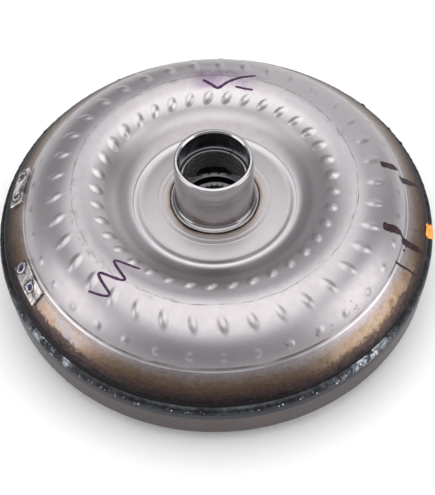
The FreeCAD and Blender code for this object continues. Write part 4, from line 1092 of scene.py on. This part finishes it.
def damper_spring(number):
    """Coil spring with closed ends, its axis across its own part of the spring circle."""
    turn = math.radians((number + 0.5) * 360.0 / SPRINGS)
    out = Vector((math.cos(turn), math.sin(turn), 0))
    along = Vector((-math.sin(turn), math.cos(turn), 0))
    up = Vector((0, 0, 1))
    centre = out * SPRING_AXIS_R + up * SPRING_Z
    around_wire = SPRING_WIRE_SIDES
    count = SPRING_TURNS * SPRING_STEPS + 1
    verts, faces = [], []
    for step in range(count):
        t = step / (count - 1)
        reach = (2 * t - 1 - 0.07 * math.sin(2 * math.pi * t)) * (SPRING_HALF - SPRING_WIRE)
        sweep = 2 * math.pi * SPRING_TURNS * t
        away = out * math.cos(sweep) + up * math.sin(sweep)
        for k in range(around_wire):
            w = 2 * math.pi * k / around_wire
            spot = centre + along * (reach + SPRING_WIRE * math.sin(w))
            verts.append(tuple(spot + away * (SPRING_COIL + SPRING_WIRE * math.cos(w))))
    for step in range(count - 1):
        for k in range(around_wire):
            a, b = step * around_wire + k, step * around_wire + (k + 1) % around_wire
            faces.append((a, b, b + around_wire, a + around_wire))
    faces.append(tuple(range(around_wire))[::-1])
    faces.append(tuple((count - 1) * around_wire + k for k in range(around_wire)))
    material = SLOT_MATERIALS["spring_steel"]
    piece = make_piece(f"damper_spring_{number + 1}", verts, faces, material, body="damper")
    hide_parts("damper_springs")
    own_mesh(piece)


for number in range(SPRINGS):
    damper_spring(number)


# ---- Stage: floor, light and camera ----


def floor():
    # a little below the lugs, so that their end faces don't lie in the floor's plane
    bpy.ops.mesh.primitive_plane_add(size=6.0, location=(0, 0, cad_box[0][2] - 0.1 * MM))
    thing = bpy.context.object
    thing.name = "floor"
    n = Nodes("pale_floor")
    n.finish((0.93, 0.93, 0.93), 0.8, metallic=0.0)
    thing.data.materials.append(n.material)


def soft_light(name, place, target, size, energy):
    light = bpy.data.lights.new(name, "AREA")
    light.shape = "ELLIPSE"
    light.size, light.size_y = size
    light.energy = energy
    thing = bpy.data.objects.new(name, light)
    thing.location = place
    way = Vector(target) - Vector(place)
    thing.rotation_euler = way.to_track_quat("-Z", "Y").to_euler()
    bpy.context.collection.objects.link(thing)


def camera():
    """Camera from above the front, a little rolled, as in a bench photograph."""
    elevation = math.radians(55.91)
    unit = 0.973 * MM
    distance = 727.1 * unit
    right = Vector((1, 0, 0))
    back = Vector((0, -math.cos(elevation), math.sin(elevation)))
    up = back.cross(right)
    place = right * 0.57 * unit - up * 31.07 * unit + back * distance + Vector((0, 0, DISH_Z * MM))
    turn = Matrix((right, up, back)).transposed() @ Matrix.Rotation(math.radians(-2.02), 3, "Z")
    data = bpy.data.cameras.new("camera")
    data.lens = 83.64
    data.sensor_width = 36.0
    data.clip_start = 0.01
    thing = bpy.data.objects.new("camera", data)
    thing.matrix_world = Matrix.Translation(place) @ turn.to_4x4()
    bpy.context.collection.objects.link(thing)
    bpy.context.scene.camera = thing


def world():
    scene = bpy.context.scene
    scene.world = scene.world or bpy.data.worlds.new("world")
    scene.world.use_nodes = True
    background = scene.world.node_tree.nodes["Background"]
    background.inputs["Color"].default_value = (0.96, 0.97, 1.0, 1.0)
    background.inputs["Strength"].default_value = 0.42
    scene.view_settings.view_transform = "Standard"


floor()
world()
camera()
soft_light("overhead", (0.0, 0.02, 1.2), (0, 0.02, 0), (1.75, 2.0), 14.6)
soft_light("left_box", (-1.25, -0.34, 0.45), (0, 0, 0.05), (1.0, 1.0), 5.2)
soft_light("right_box", (1.22, -0.40, 0.45), (0, 0, 0.05), (1.0, 1.05), 6.2)
soft_light("back_panel", (0.55, 1.2, 0.55), (0, 0, 0.05), (1.6, 1.1), 2.8)
